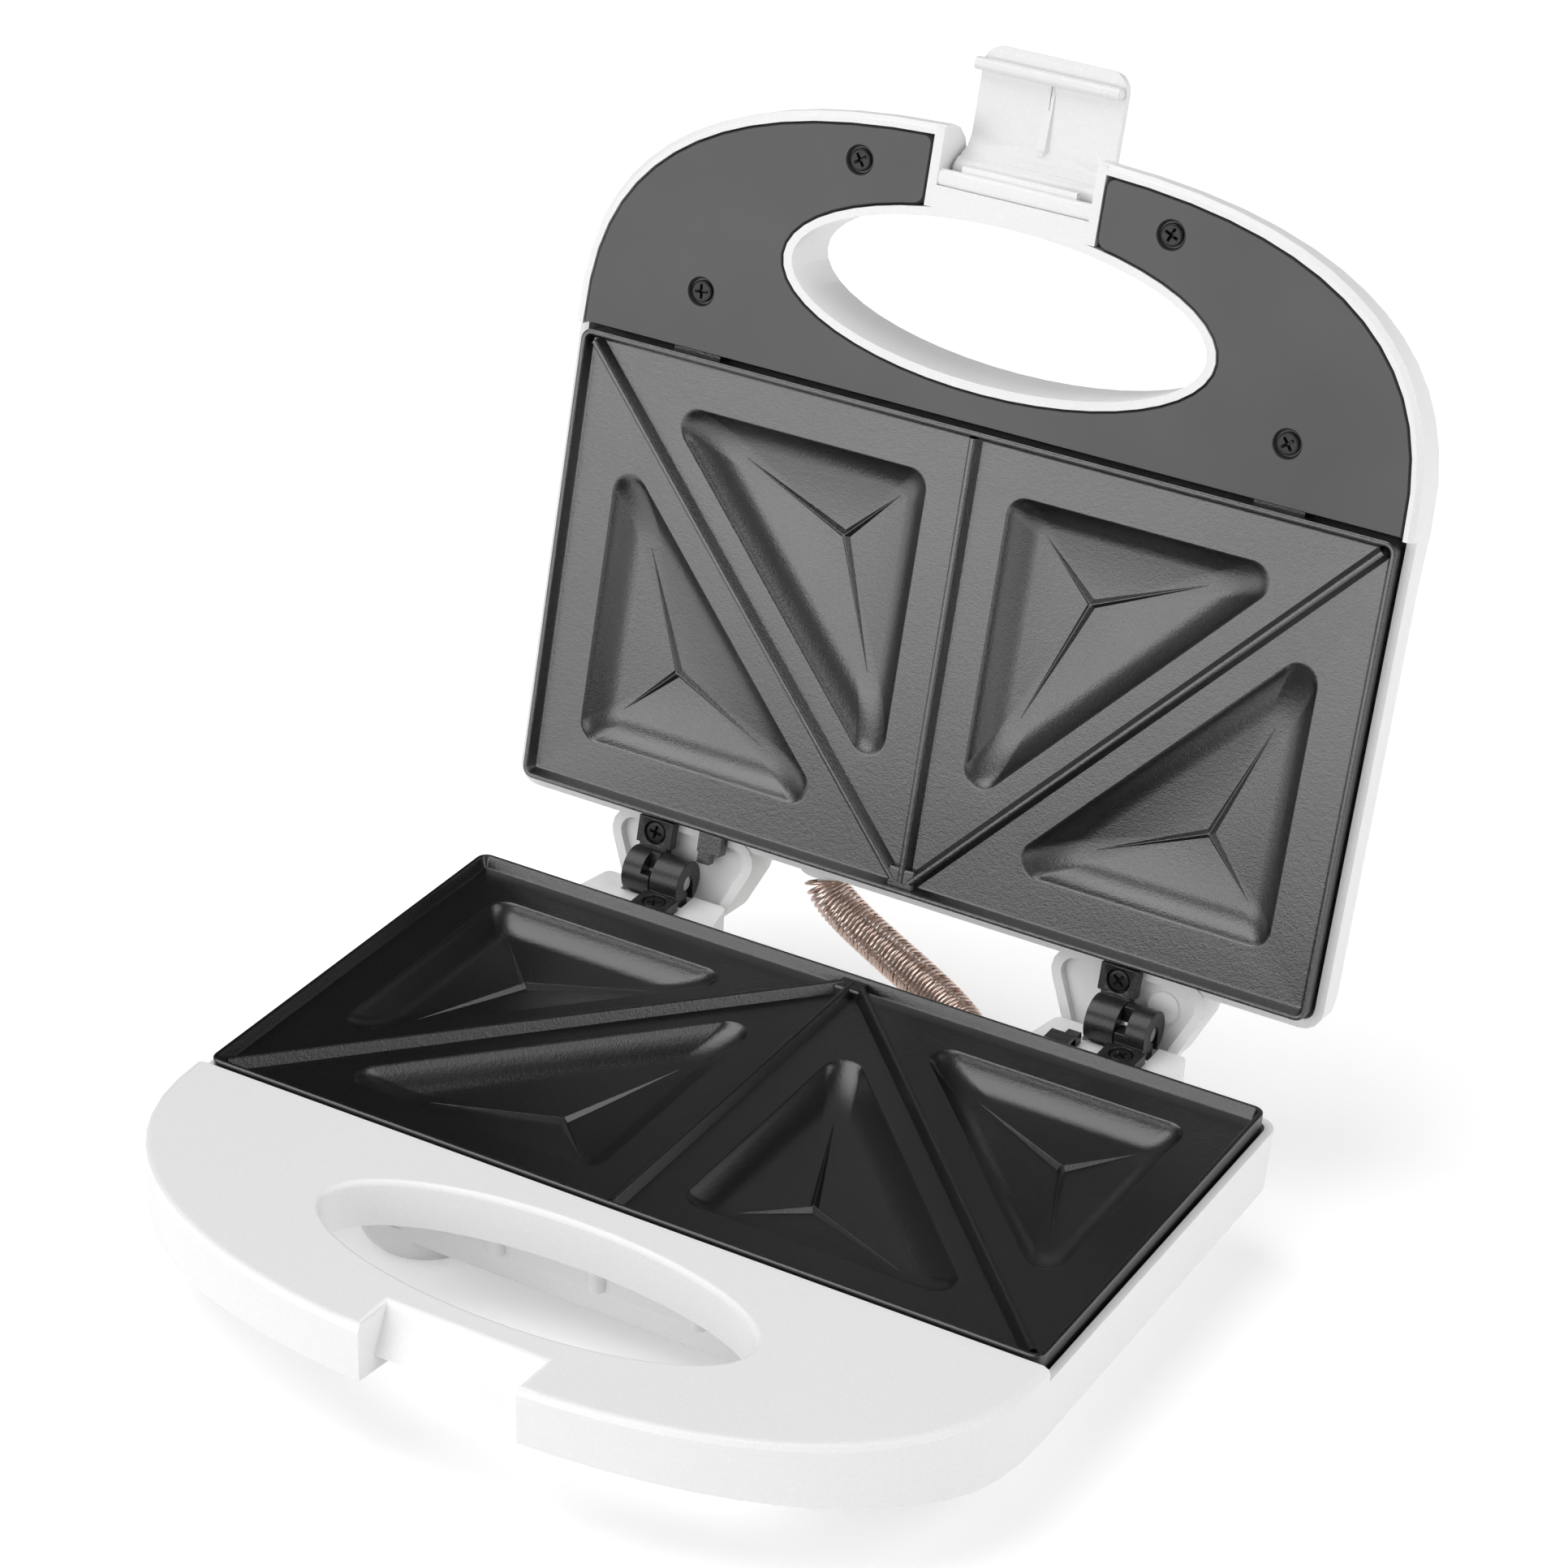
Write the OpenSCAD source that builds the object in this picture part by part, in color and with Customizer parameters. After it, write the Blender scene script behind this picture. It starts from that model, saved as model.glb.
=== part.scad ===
// Hinged sandwich toaster with four triangular pockets in each cooking plate.
// Millimetres. X runs to the right, Y to the hinge side, Z up, the handles point to -Y.
// Most modules are drawn about the parting plane between the two plates, with y = 0 at the
// plates' front edge; sit() moves them onto the table, raise() also turns the lid open.

/* [Cooking plates] */
// Width of a cooking plate
plate_w = 220; // [205:1:235]
// Depth of a cooking plate, from the handle side to the hinge side
plate_d = 119; // [112:1:126]
// Height of the raised rim above the plate's flat
rim_h = 3; // [2:0.5:4]
// Height of a cooking plate's outer edge
plate_h = 9; // [8:0.5:11]
// Thickness of the cast plate
cast_t = 2.2; // [1.8:0.2:2.8]
// Distance between the two rims when the lid is closed
rim_gap = 1; // [0.6:0.2:2]
// Flat margin between the plate's edge and a pocket
edge_margin = 13.3; // [11:0.5:16]
// Flat margin between the middle ridge and a pocket
middle_margin = 10.8; // [9:0.5:13]
// Flat margin between a diagonal ridge and a pocket
ridge_margin = 8; // [7:0.5:10]
// Depth of a pocket at its edge, below the plate's flat
pocket_h = 5.6; // [4:0.2:7]
// Further depth of a pocket at the point where its creases meet
crease_drop = 2; // [1:0.2:3]
// Width of the sloping wall of a pocket
pocket_slope = 6.5; // [5:0.5:8]
// Radius of a pocket's corners
pocket_r = 5; // [3:0.5:6]
// Height of the raised creases on a pocket's floor
crease_h = 0.8; // [0.4:0.1:1.2]
// Width of the ridges that part the sandwiches
ridge_w = 3; // [2:0.5:4]

/* [Housings] */
// Wall thickness of the plastic mouldings
wall = 2.4; // [2:0.2:3]
// Gap between a plate and the moulding round it
plate_fit = 0.6; // [0.4:0.1:1]
// Reach of the handles in front of the plates
reach = 70; // [66:0.5:76]
// Squareness of the base's handle outline, 2 is an ellipse
base_square = 2.35; // [2.2:0.05:3.2]
// Squareness of the lid's handle outline
lid_square = 2.7; // [2.2:0.1:3.4]
// Distance between the two handle faces when the lid is closed
face_gap = 3; // [2.4:0.2:4]
// Height of the handle at its front edge
handle_h = 14.5; // [13:0.5:17]
// Depth of a housing's side wall below the parting plane
skirt_h = 23; // [21:0.5:26]
// Distance from the parting plane to the wall's edge beside the plates
side_drop = 5; // [4:0.5:7]
// Depth of the bottom bowl, below the parting plane
bowl_h = 31.5; // [30:0.5:36]
// Height of the lid's top above the parting plane
dome_h = 33; // [31:0.5:38]
// Radius of the housings' rear corners
rear_r = 5.5; // [4:0.5:6]
// Height of the parting plane above the table
stand_h = 40; // [38:0.5:46]

/* [Handle opening] */
// Half the width of the opening through the handles
grip_a = 55.4; // [50:0.5:60]
// Half the depth of the opening through the base's handle
grip_b = 20.5; // [17:0.5:22]
// Half the depth of the opening through the lid's handle
lid_grip_b = 19; // [17:0.5:20.5]
// Distance of the opening's centre from the plates' front edge
grip_y = 30.2; // [29:0.5:33]
// Depth of the collar round the base's opening
collar_h = 12; // [10:0.5:14]
// Wall of the collars
collar_t = 2.3; // [1.8:0.1:2.8]

/* [Hinges] */
// Distance between the middles of the two hinges
hinge_span = 131; // [126:1:136]
// Distance of the hinge axis behind the plates
hinge_back = 14.2; // [13:0.2:16]
// Angle that the lid stands open
lid_open = 102; // [96:1:106]
// Radius of a hinge knuckle
knuckle_r = 6; // [5.5:0.1:6.4]
// Length of a hinge knuckle
knuckle_l = 8; // [7:0.5:9]
// Gap between the two knuckles of a hinge
knuckle_gap = 0.3; // [0.2:0.1:0.6]
// Radius of a hinge pin
pin_r = 2; // [1.6:0.1:2.4]
// Clearance round a pin that turns
run_fit = 0.05; // [0.03:0.01:0.08]
// Gap between the lid's pods and the base at the open stop
stop_gap = 0.4; // [0.3:0.1:0.8]

/* [Latch] */
// Width of the latch clip
clip_w = 38; // [34:1:42]
// Length of the latch clip from its pivot
clip_l = 29; // [28:0.5:31]
// Thickness of the latch clip
clip_t = 2.2; // [1.8:0.2:2.4]
// Side gap between the clip and the notch
clip_fit = 1.2; // [0.8:0.2:1.6]

/* [Guard spring] */
// Outer radius of the wire guard between lid and base
guard_r = 4.2; // [4:0.1:4.2]
// Radius of the guard's wire
wire_r = 0.3; // [0.26:0.01:0.3]
// Number of curls in the guard
curls = 36; // [30:1:36]

/* [Hidden] */
$fn = 48;

eps = 0.01;
big = 400;
seat = 0.2;                                   // gap under a piece that rests on another

// Plates
half_w = plate_w/2;
hinge_x = hinge_span/2;
rim_z = rim_gap/2;                            // a rim's distance from the parting plane
rim_t = 1.1;                                  // the rim's width at its top
rim_foot = 2.4;                               // the rim's width at its foot
plate_r = 3;                                  // the plate's corner radius
ridge_low = 0.4;                              // how far the ridges stay under the rim
diagonal_l = norm([half_w, plate_d]);
diagonal_n = [plate_d, half_w]/diagonal_l;    // unit normal of the right-hand diagonal
diagonal_c = half_w*plate_d/diagonal_l;       // its distance from the front middle
pocket_floor = -rim_h - pocket_h;
pocket_deep = pocket_floor - crease_drop;
lug_x = 78.7;                                 // place of the lugs under the handle face
lug_w = 13;
lug_y = -21;
lug_t = 2.5;
lug_z = -face_gap/2 - 2.5 - 0.2 - lug_t;      // the lugs' underside, in the base
rear_lug_x = hinge_x - 15;               // place of the lug beside a hinge
post_x = 25;                                  // place of the posts near the hinge side
post_y = plate_d - 6.7;
post_r = 4;
post_z = -18;                                 // where a plate's post meets the housing's

// Housings
face_z = face_gap/2;
face_t = 2.5;
house_x = half_w + plate_fit + wall;
rear_y = plate_d + plate_fit + wall;
well_x = half_w + plate_fit;
well_y = plate_d + plate_fit;
draft = 1;
hinge_y = plate_d + hinge_back;
grip_round = [13, 9.5];                       // rounding of the handle's back, across and down
dome_round = [26, 20];                        // rounding of the dome, across and down
slope_y0 = -12;                               // where the handle's top meets the dome
slope_y1 = 16;

// Pods that carry the hinges
pod_rim = 4.5;                                // the lid pod's edge above the axis
pod_reach = 10.6;                             // the pods' reach behind the axis
pod_in = hinge_x - 26.5;
pod_out = hinge_x + 21.5;
pod_end_in = hinge_x - 15.5;
pod_end_out = hinge_x + 10.5;
pod_h = 23;
pod_low = -skirt_h + 1;                       // underside of the base's pods
base_pod_in = hinge_x - 21.5;
base_pod_out = hinge_x + 19.5;
base_pod_back = hinge_y + cos(lid_open)*pod_reach + sin(lid_open)*pod_rim - stop_gap;
bracket_t = 3;
bracket_z = 1.5;                              // from the axis to a bracket's near face
bracket_w = 10;
boss_r = 4.2;                                 // radius of the bosses for the bracket screws
screw_off = (knuckle_l + knuckle_gap)/2;      // a bracket screw's place beside its hinge's middle
pod_taper = 3;                                // how far the base's pods narrow backwards
pod_top = bracket_z + bracket_t;              // a pod's seat for its bracket
screw_back = hinge_back - 4.3;                // a bracket screw's place in front of the axis

// Heating parts
tube_r = 3.2;
tube_z = pocket_deep - cast_t - rim_z - tube_r - 0.5;
tube_y0 = 35;
tube_y1 = plate_d - 34;
tray_z = tube_z - tube_r - seat;
tray_t = 0.8;
tray_x = half_w - 12;
tray_y0 = 5;
tray_y1 = plate_d - 13;

// Latch
clip_x = clip_w/2;
notch_x = clip_x + clip_fit;
pivot_y = -reach + 10.8;
pivot_z = 10;
pivot_r = 1.6;
clip_face = 4.2;                              // from the pivot to the clip's inner face
bead_r = 1.6;
bead_y = 25;                                  // from the pivot to the bead, along the clip
bead_z = clip_face - 1.2;
lip_z = pivot_z - bead_y + bead_r + 0.4;      // underside of the lip that the bead hooks
notch_top = -reach + 12.5;                           // back of the base's notch, at its face
lid_notch = pivot_y + 3.7;                    // back of the lid's notch
bridge_y = -grip_y - lid_grip_b - 0.8;        // end of the white face behind the lid's notch

// Guard between lid and base
guard_base = [28, rear_y, -15.5];
guard_lid = [-26, rear_y, 13.5];
collar_l = 1.8;
coil_r = guard_r - wire_r;
ring_n = 8;
tube_n = 6;

// ---------- places ----------
module sit() {
    translate([0, -middle_y, stand_h])
        children();
}

module raise() {
    sit()
        translate([0, hinge_y, 0])
            rotate([-lid_open, 0, 0])
                translate([0, -hinge_y, 0])
                    children();
}

// A point of the closed lid after the lid is turned open
function opened(p) = let (y = p[1] - hinge_y, c = cos(lid_open), s = sin(lid_open))
    [p[0], hinge_y + c*y + s*p[2], -s*y + c*p[2]];
function turned(v) = opened([v[0], v[1] + hinge_y, v[2]]) - [0, hinge_y, 0];

// The table point below the middle of the part, between the base's front and the clip's tip
clip_tip = opened([0, pivot_y - clip_l - 1, pivot_z + clip_face + clip_t]);
middle_y = (clip_tip[1] - reach)/2;

// ---------- outlines ----------
function unit(v) = v/norm(v);

// A convex outline with its edges moved in and its corners rounded
function rounded(poly, inset, r, n = 5) = [
    for (i = [0:len(poly) - 1])
        let (
            v = poly[i],
            u = unit(poly[(i + 1) % len(poly)] - v),
            w = unit(poly[(i + len(poly) - 1) % len(poly)] - v),
            half = acos(u*w)/2,
            c = v + unit(u + w)*(inset + r)/sin(half),
            a0 = atan2(w[0], -w[1]),
            turn = (atan2(-u[0], u[1]) - a0 + 720) % 360
        )
        for (k = [0:n]) c + r*[cos(a0 + turn*k/n), sin(a0 + turn*k/n)]
];

function box4(x, y0, y1) = [[-x, y0], [x, y0], [x, y1], [-x, y1]];

// The housing's outline, as its right half from the front middle to the rear middle
function half_house(inset, square, n = 15) = concat(
    [for (i = [0:n])
        let (t = 84*(1 - i/n), p = 2/square)
        [(house_x - inset)*pow(cos(t), p), -(reach - inset)*pow(sin(t), p)]],
    [for (y = [slope_y1*0.35, slope_y1*0.7, slope_y1]) [house_x - inset, y]],
    [for (k = [0:4])
        let (r = max(rear_r - inset, 1), a = 22.5*k)
        [house_x - inset - r + r*cos(a), rear_y - inset - r + r*sin(a)]]
);
function mirrored(half) = concat(
    half, [for (i = [len(half) - 1:-1:0]) [-half[i][0], half[i][1]]]);
function base_house(inset) = mirrored(half_house(inset, base_square));
function lid_house(inset) = mirrored(half_house(inset, lid_square));

module slab(outline, z0, z1) {
    translate([0, 0, z0])
        linear_extrude(z1 - z0)
            polygon(outline);
}

// A closed skin over rings of equal count, lowest first; the ends are strips from side to side
module loft(rings) {
    n = len(rings[0]);
    m = len(rings) - 1;
    sides = [for (k = [0:m - 1], i = [0:n - 1])
        let (j = (i + 1) % n, a = k*n + i, b = a + n, c = (k + 1)*n + j, d = k*n + j)
        each [[a, b, c], [a, c, d]]];
    ends = [for (i = [0:n/2 - 2])
        let (a = i, b = i + 1, c = n - 2 - i, d = n - 1 - i)
        each concat(
            a == d || b == c ? [] : [[a, b, c], [a, c, d]],
            [[m*n + c, m*n + b, m*n + a], [m*n + d, m*n + c, m*n + a]])];
    polyhedron(points = [for (r = rings, p = r) p], faces = concat(sides, ends));
}

function level(outline, z) = [for (p = outline) [p[0], p[1], z]];

module rod(p, r, l) {
    translate(p)
        cylinder(r = r, h = l);
}

module cross_rod(p, r, l) {
    translate(p)
        rotate([0, 90, 0])
            cylinder(r = r, h = l);
}

module both_sides() {
    children();
    mirror([1, 0, 0])
        children();
}

module oval(a, b, y, z0, z1) {
    translate([0, 0, z0])
        linear_extrude(z1 - z0)
            polygon([for (k = [0:47]) [a*cos(7.5*k), y + b*sin(7.5*k)]]);
}

// A side profile given as [y, z] points, drawn across x0 to x1
module across(x0, x1, profile) {
    translate([x0, 0, 0])
        rotate([90, 0, 90])
            linear_extrude(x1 - x0)
                polygon(profile);
}

// A cross-head screw, its head's top at z = 0 and its shank downwards
module cross_screw(head_r, head_h, shank_r, l) {
    slot = head_r*0.3;
    difference() {
        union() {
            rod([0, 0, -head_h], head_r, head_h);
            rod([0, 0, -l], shank_r, l - head_h + eps);
        }
        for (a = [0, 90])
            rotate([0, 0, a])
                translate([-head_r*0.62, -slot/2, -head_h*0.6])
                    cube([head_r*1.24, slot, head_h]);
    }
}

// ---------- cooking plate ----------
inner_pocket = [
    [middle_margin, edge_margin],
    [(diagonal_c - ridge_margin - diagonal_n[1]*edge_margin)/diagonal_n[0], edge_margin],
    [middle_margin, (diagonal_c - ridge_margin - diagonal_n[0]*middle_margin)/diagonal_n[1]]
];
outer_x = half_w - edge_margin;
outer_y = plate_d - edge_margin;
outer_pocket = [
    [outer_x, outer_y],
    [(diagonal_c + ridge_margin - diagonal_n[1]*outer_y)/diagonal_n[0], outer_y],
    [outer_x, (diagonal_c + ridge_margin - diagonal_n[0]*outer_x)/diagonal_n[1]]
];

// The centre of a triangle's inner circle, where the creases meet
function crease_point(t) = let (
        a = norm(t[1] - t[2]), b = norm(t[0] - t[2]), c = norm(t[0] - t[1]))
    (a*t[0] + b*t[1] + c*t[2])/(a + b + c);

// Rings of a pocket's wall, [share of the slope, share of the depth]
pocket_wall = [[1, 1], [0.78, 0.93], [0.5, 0.6], [0.2, 0.15], [0, 0]];

module pocket_form(t, grow, top) {
    hub = crease_point(t);
    rings = [for (w = pocket_wall)
        level(rounded(t, w[0]*pocket_slope - grow, pocket_r + grow - 2*w[0], 4),
            -rim_h - w[1]*pocket_h - grow)];
    upper = concat(rings, [level(rounded(t, -grow, pocket_r + grow, 4), top)]);
    n = len(rings[0]);
    m = len(upper) - 1;
    polyhedron(
        points = concat([for (r = upper, p = r) p], [[hub[0], hub[1], pocket_deep - grow]]),
        faces = concat(
            [for (i = [0:n - 1]) [i, (i + 1) % n, (m + 1)*n]],
            [for (k = [0:m - 1], i = [0:n - 1])
                let (j = (i + 1) % n)
                each [[k*n + i, (k + 1)*n + i, (k + 1)*n + j], [k*n + i, (k + 1)*n + j, k*n + j]]],
            [[for (i = [n - 1:-1:0]) m*n + i]])
    );
}

// A raised crease from the hub to near a corner, tapering out
module crease(t, corner) {
    hub = crease_point(t);
    v = t[corner] - hub;
    along = unit(v);
    side = [-along[1], along[0]]*0.9;
    far = hub + v - along*(pocket_slope + pocket_r + 3);
    back = hub - along*0.9;
    low = pocket_deep - 0.6;
    polyhedron(
        points = [
            [back[0] + side[0], back[1] + side[1], low],
            [back[0] - side[0], back[1] - side[1], low],
            [back[0], back[1], pocket_deep + crease_h],
            [far[0], far[1], pocket_floor + 0.1],
            [far[0], far[1], low]
        ],
        faces = [[0, 1, 4], [0, 2, 1], [0, 4, 3], [0, 3, 2], [1, 2, 3], [1, 3, 4]]
    );
}

// A ridge with sloping sides from p to q
module ridge(p, q) {
    v = q - p;
    foot = ridge_w/2;
    head = ridge_w/4;
    translate([p[0], p[1], 0])
        rotate([0, 0, atan2(v[1], v[0])])
            rotate([90, 0, 90])
                linear_extrude(norm(v))
                    polygon([[-foot, -rim_h - 0.5], [foot, -rim_h - 0.5], [foot, -rim_h],
                        [head, -ridge_low], [-head, -ridge_low], [-foot, -rim_h]]);
}

// Cast lug at the rear edge, with its finger
module rear_lug() {
    translate([rear_lug_x, plate_d - 1, -4.2])
        cube([6.5, 6.4, 3.4]);
    translate([rear_lug_x + 3, plate_d - 1, -4.2])
        cube([3.5, 9.6, 2.6]);
    translate([rear_lug_x + 4.3, plate_d + 0.6, -2])
        cube([2.2, 4.8, 3.2]);
}

module cooking_plate() {
    difference() {
        union() {
            difference() {
                loft([
                    level(rounded(box4(half_w, 0, plate_d), 0.3, plate_r), -plate_h),
                    level(rounded(box4(half_w, 0, plate_d), 0, plate_r), -0.5),
                    level(rounded(box4(half_w, 0, plate_d), 0.3, plate_r), 0)
                ]);
                loft([
                    level(rounded(box4(half_w, 0, plate_d), rim_foot, plate_r - 0.6), -rim_h),
                    level(rounded(box4(half_w, 0, plate_d), rim_t, plate_r - 0.6), eps)
                ]);
                translate([0, 0, -plate_h - eps])
                    linear_extrude(plate_h - rim_h - cast_t)
                        polygon(rounded(box4(half_w, 0, plate_d), rim_foot + 0.2, 1));
            }
            both_sides()
                for (t = [inner_pocket, outer_pocket])
                    pocket_form(t, cast_t, -rim_h - cast_t/2);
            ridge([0, 2], [0, plate_d - 3]);
            both_sides()
                ridge([2.5, plate_d - 3.5], [half_w - 3.5, 3]);
            for (x = [-post_x, post_x])
                rod([x, post_y, post_z + rim_z + seat], post_r, -post_z - rim_z - rim_h - 1);
            for (y = [tube_y0, tube_y1])
                element_post([0, y]);
            for (y = [tube_y0, tube_y1])
                element_post([half_w - 13.5, y]);
            translate([0, plate_d/2, tray_z + rim_z + seat])
                for (y = [-12, 12])
                    rod([0, y, 0], 3.2, -tray_z - rim_z - seat - rim_h - 1);
            both_sides()
                difference() {
                    translate([lug_x - lug_w/2, lug_y, lug_z + rim_z])
                        cube([lug_w, 1.5 - lug_y, lug_t]);
                    rod([lug_x, lug_y + 5, -20], 2.1, 20);
                }
            rear_lug();
        }
        both_sides()
            for (t = [inner_pocket, outer_pocket])
                difference() {
                    pocket_form(t, 0, 1);
                    for (corner = [0:2])
                        crease(t, corner);
                }
        for (x = [-post_x, post_x])
            rod([x, post_y, post_z], 1.5, 9);
        translate([0, plate_d/2, tray_z])
            for (y = [-12, 12])
                rod([0, y, 0], 1.25, 8);
    }
}

// Post with a half-round seat that holds the heating tube off the pockets
module element_post(p) {
    difference() {
        translate([p[0] - 3, p[1] - 4.5, tube_z + rim_z])
            cube([6, 9, -tube_z - rim_z - rim_h - 1]);
        cross_rod([p[0] - 5, p[1], tube_z + rim_z], tube_r + run_fit, 10);
    }
}

module in_base() {
    sit()
        children();
}

// The lid's plate group is the base's, turned over about the depth axis
module in_lid() {
    raise()
        rotate([0, 180, 0])
            children();
}

module lower_plate() {
    color([0.1, 0.1, 0.1])
        in_base()
            translate([0, 0, -rim_z])
                cooking_plate();
}

module upper_plate() {
    color([0.24, 0.24, 0.25])
        in_lid()
            translate([0, 0, -rim_z])
                cooking_plate();
}

// ---------- heating parts, drawn in the base's half ----------
// A sheathed heating tube bent to a U, with its two terminal pins
module heating_tube() {
    bend = (tube_y1 - tube_y0)/2;
    leg_x0 = -(half_w - 8 - bend);
    leg_x1 = half_w - 10;
    for (y = [tube_y0, tube_y1]) {
        cross_rod([leg_x0, y, tube_z], tube_r, leg_x1 - leg_x0);
        cross_rod([leg_x1, y, tube_z], 1.2, 5.5);
    }
    translate([leg_x0, (tube_y0 + tube_y1)/2, tube_z])
        rotate([0, 0, 90])
            rotate_extrude(angle = 180)
                translate([bend, 0])
                    circle(r = tube_r);
}

// Sheet tray that throws the heat back to the plate
module heat_tray() {
    difference() {
        union() {
            translate([0, 0, tray_z - tray_t])
                linear_extrude(tray_t)
                    polygon(rounded(box4(tray_x, tray_y0, tray_y1), 0, 8));
            difference() {
                translate([0, 0, tray_z - tray_t])
                    linear_extrude(tube_r)
                        polygon(rounded(box4(tray_x, tray_y0, tray_y1), 0, 8));
                translate([0, 0, tray_z - tray_t - eps])
                    linear_extrude(big)
                        polygon(rounded(box4(tray_x, tray_y0, tray_y1), tray_t, 8 - tray_t));
                translate([-big/2, tube_y0 - 5, tray_z])
                    cube([big, tube_y1 - tube_y0 + 10, big]);
            }
        }
        for (y = [-12, 12])
            rod([0, plate_d/2 + y, tray_z - 5], 1.7, 10);
    }
}

module tray_screws() {
    for (y = [-12, 12])
        translate([0, plate_d/2 + y, tray_z - tray_t])
            rotate([180, 0, 0])
                translate([0, 0, 1.4])
                    cross_screw(2.6, 1.4, 1.2, 8);
}

module lower_element() {
    color("dimgray")
        in_base()
            heating_tube();
}

module upper_element() {
    color("dimgray")
        in_lid()
            heating_tube();
}

module lower_reflector() {
    color("silver")
        in_base()
            heat_tray();
}

module upper_reflector() {
    color("silver")
        in_lid()
            heat_tray();
}

module lower_reflector_screws() {
    color("silver")
        in_base()
            tray_screws();
}

module upper_reflector_screws() {
    color("silver")
        in_lid()
            tray_screws();
}

// Disc thermostat against the back of the base's plate
module thermostat() {
    z = -rim_z - rim_h - cast_t;
    color("tan")
        in_base()
            translate([0, plate_d/2, 0]) {
                rod([0, 0, z - seat - 1.6], 7.5, 1.6);
                rod([0, 0, z - seat - 8], 6.8, 6.5);
                for (x = [-4, 4])
                    translate([x - 0.4, -3, z - seat - 12])
                        cube([0.8, 6, 4.2]);
            }
}

// Thermal cut-off on its strap, against the back of the lid's plate
module thermal_fuse() {
    z = -rim_z - rim_h - cast_t;
    color("silver")
        in_lid()
            translate([0, plate_d/2, 0]) {
                translate([-5, -7, z - seat - 1])
                    cube([10, 14, 1]);
                cross_rod([-6, 0, z - seat - 2.8], 2, 12);
                for (x = [-8, 6])
                    cross_rod([x, 0, z - seat - 2.8], 0.5, 2);
            }
}

// ---------- base housing ----------
// Levels of the bowl: [height, half the width, front, back, corner radius]
bowl_levels = [
    [-bowl_h, half_w - 32, 0, plate_d - 8, 20],
    [-bowl_h + 1, half_w - 28, -0.8, plate_d - 6, 20],
    [-skirt_h - 1, half_w - 7, -2.2, plate_d - 1, 16],
    [-skirt_h + 2, half_w - 4, -2.6, plate_d - 0.5, 14]
];

function bowl_ring(b, inset, z) =
    level(rounded(box4(b[1], b[2], b[3]), inset, b[4] - inset, 5), z);

module bowl() {
    loft([for (b = bowl_levels) bowl_ring(b, 0, b[0])]);
}

module bowl_inside() {
    loft(concat(
        [for (b = bowl_levels) bowl_ring(b, wall, b[0] + wall)],
        [bowl_ring(bowl_levels[3], wall, 0)]));
}

module base_outer() {
    loft([
        level(base_house(draft + 1.2), -skirt_h),
        level(base_house(draft), -skirt_h + 1.4),
        level(base_house(0.2), -face_z - 1.8),
        level(base_house(0.7), -face_z - 0.6),
        level(base_house(2), -face_z)
    ]);
}

// Everything below the slanting underside of the base's handle
module under_handle() {
    across(-big/2, big/2, [
        [-reach - 20, -face_z - handle_h + 2.2],
        [-reach - 20, -big/2], [-6, -big/2], [-6, -skirt_h - 0.6]
    ]);
}

module handle_hollow() {
    intersection() {
        slab(base_house(wall + draft), -big/2, -face_z - face_t);
        translate([-big/2, -big, -big])
            cube([big, big - plate_fit - wall, 2*big]);
    }
}

module pod_outline(in_x, out_x, end_in, end_out, y0, y1, inset, r) {
    polygon(rounded([[in_x, y0], [out_x, y0], [end_out, y1], [end_in, y1]], inset, r));
}

module base_pod() {
    difference() {
        translate([0, 0, pod_low])
            linear_extrude(-pod_low - pod_top)
                pod_outline(base_pod_in, base_pod_out, base_pod_in + pod_taper, base_pod_out - pod_taper,
                    well_y, base_pod_back, 0, 2);
        difference() {
            translate([0, 0, -skirt_h])
                linear_extrude(skirt_h - knuckle_r - 0.5 - wall)
                    pod_outline(base_pod_in, base_pod_out, base_pod_in + pod_taper, base_pod_out - pod_taper,
                        well_y, base_pod_back, wall, 1);
            for (s = bracket_screws)
                rod([abs(s), hinge_y - screw_back, -skirt_h], boss_r, skirt_h);
            translate([hinge_x - screw_off, hinge_y - screw_back - boss_r, -skirt_h])
                cube([2*screw_off, 2*boss_r, skirt_h]);
        }
        cross_rod([hinge_x - knuckle_l - 1, hinge_y, 0], knuckle_r + 0.5, 2*knuckle_l + 2);
    }
}

// Room for a plate's rear lug and finger
module lug_room() {
    translate([rear_lug_x - 0.5, well_y - 1, -5])
        cube([7.5, wall + 5, 5]);
    translate([rear_lug_x + 2.5, well_y, -5])
        cube([4.5, 10, 5]);
}

// Places of the base's bracket screws across the part; the lid's are their mirror images
bracket_screws = [for (s = [-1, 1]) s*hinge_x + screw_off];

// Moulded foot: a stub with a rounded shoulder, hollowed for its pad
foot_r = 17;
foot_flat = 11.5;
pad_r = 8.5;
pad_h = 2.6;
pad_in = 1.2;
foot_z = -stand_h + pad_h - pad_in;
foot_h = -foot_z - bowl_h + 4;
foot_x = 58;
front_foot_y = 15;
rear_foot_y = plate_d - 9;
rear_foot_h = pod_low - foot_z + 0.5;         // the rear feet reach up to the hinge pods
feet = [for (x = [-foot_x, foot_x]) each
    [[x, front_foot_y, foot_h], [x, rear_foot_y, rear_foot_h]]];

module foot(h) {
    difference() {
        translate([0, 0, foot_z])
            rotate_extrude()
                polygon(concat(
                    [[0, h], [0, 0]],
                    [for (k = [0:6])
                        [foot_flat + (foot_r - foot_flat)*sin(15*k), foot_h*0.8*(1 - cos(15*k))]],
                    [[foot_r, h]]));
        rod([0, 0, foot_z - eps], pad_r + 0.1, pad_in + eps);
    }
}

module foot_pads() {
    color([0.25, 0.25, 0.25])
        sit()
            for (f = feet)
                difference() {
                    rod([f[0], f[1], -stand_h], pad_r, pad_h);
                    rod([f[0], f[1], -stand_h - 1], 4, 1.8);
                }
}

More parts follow.
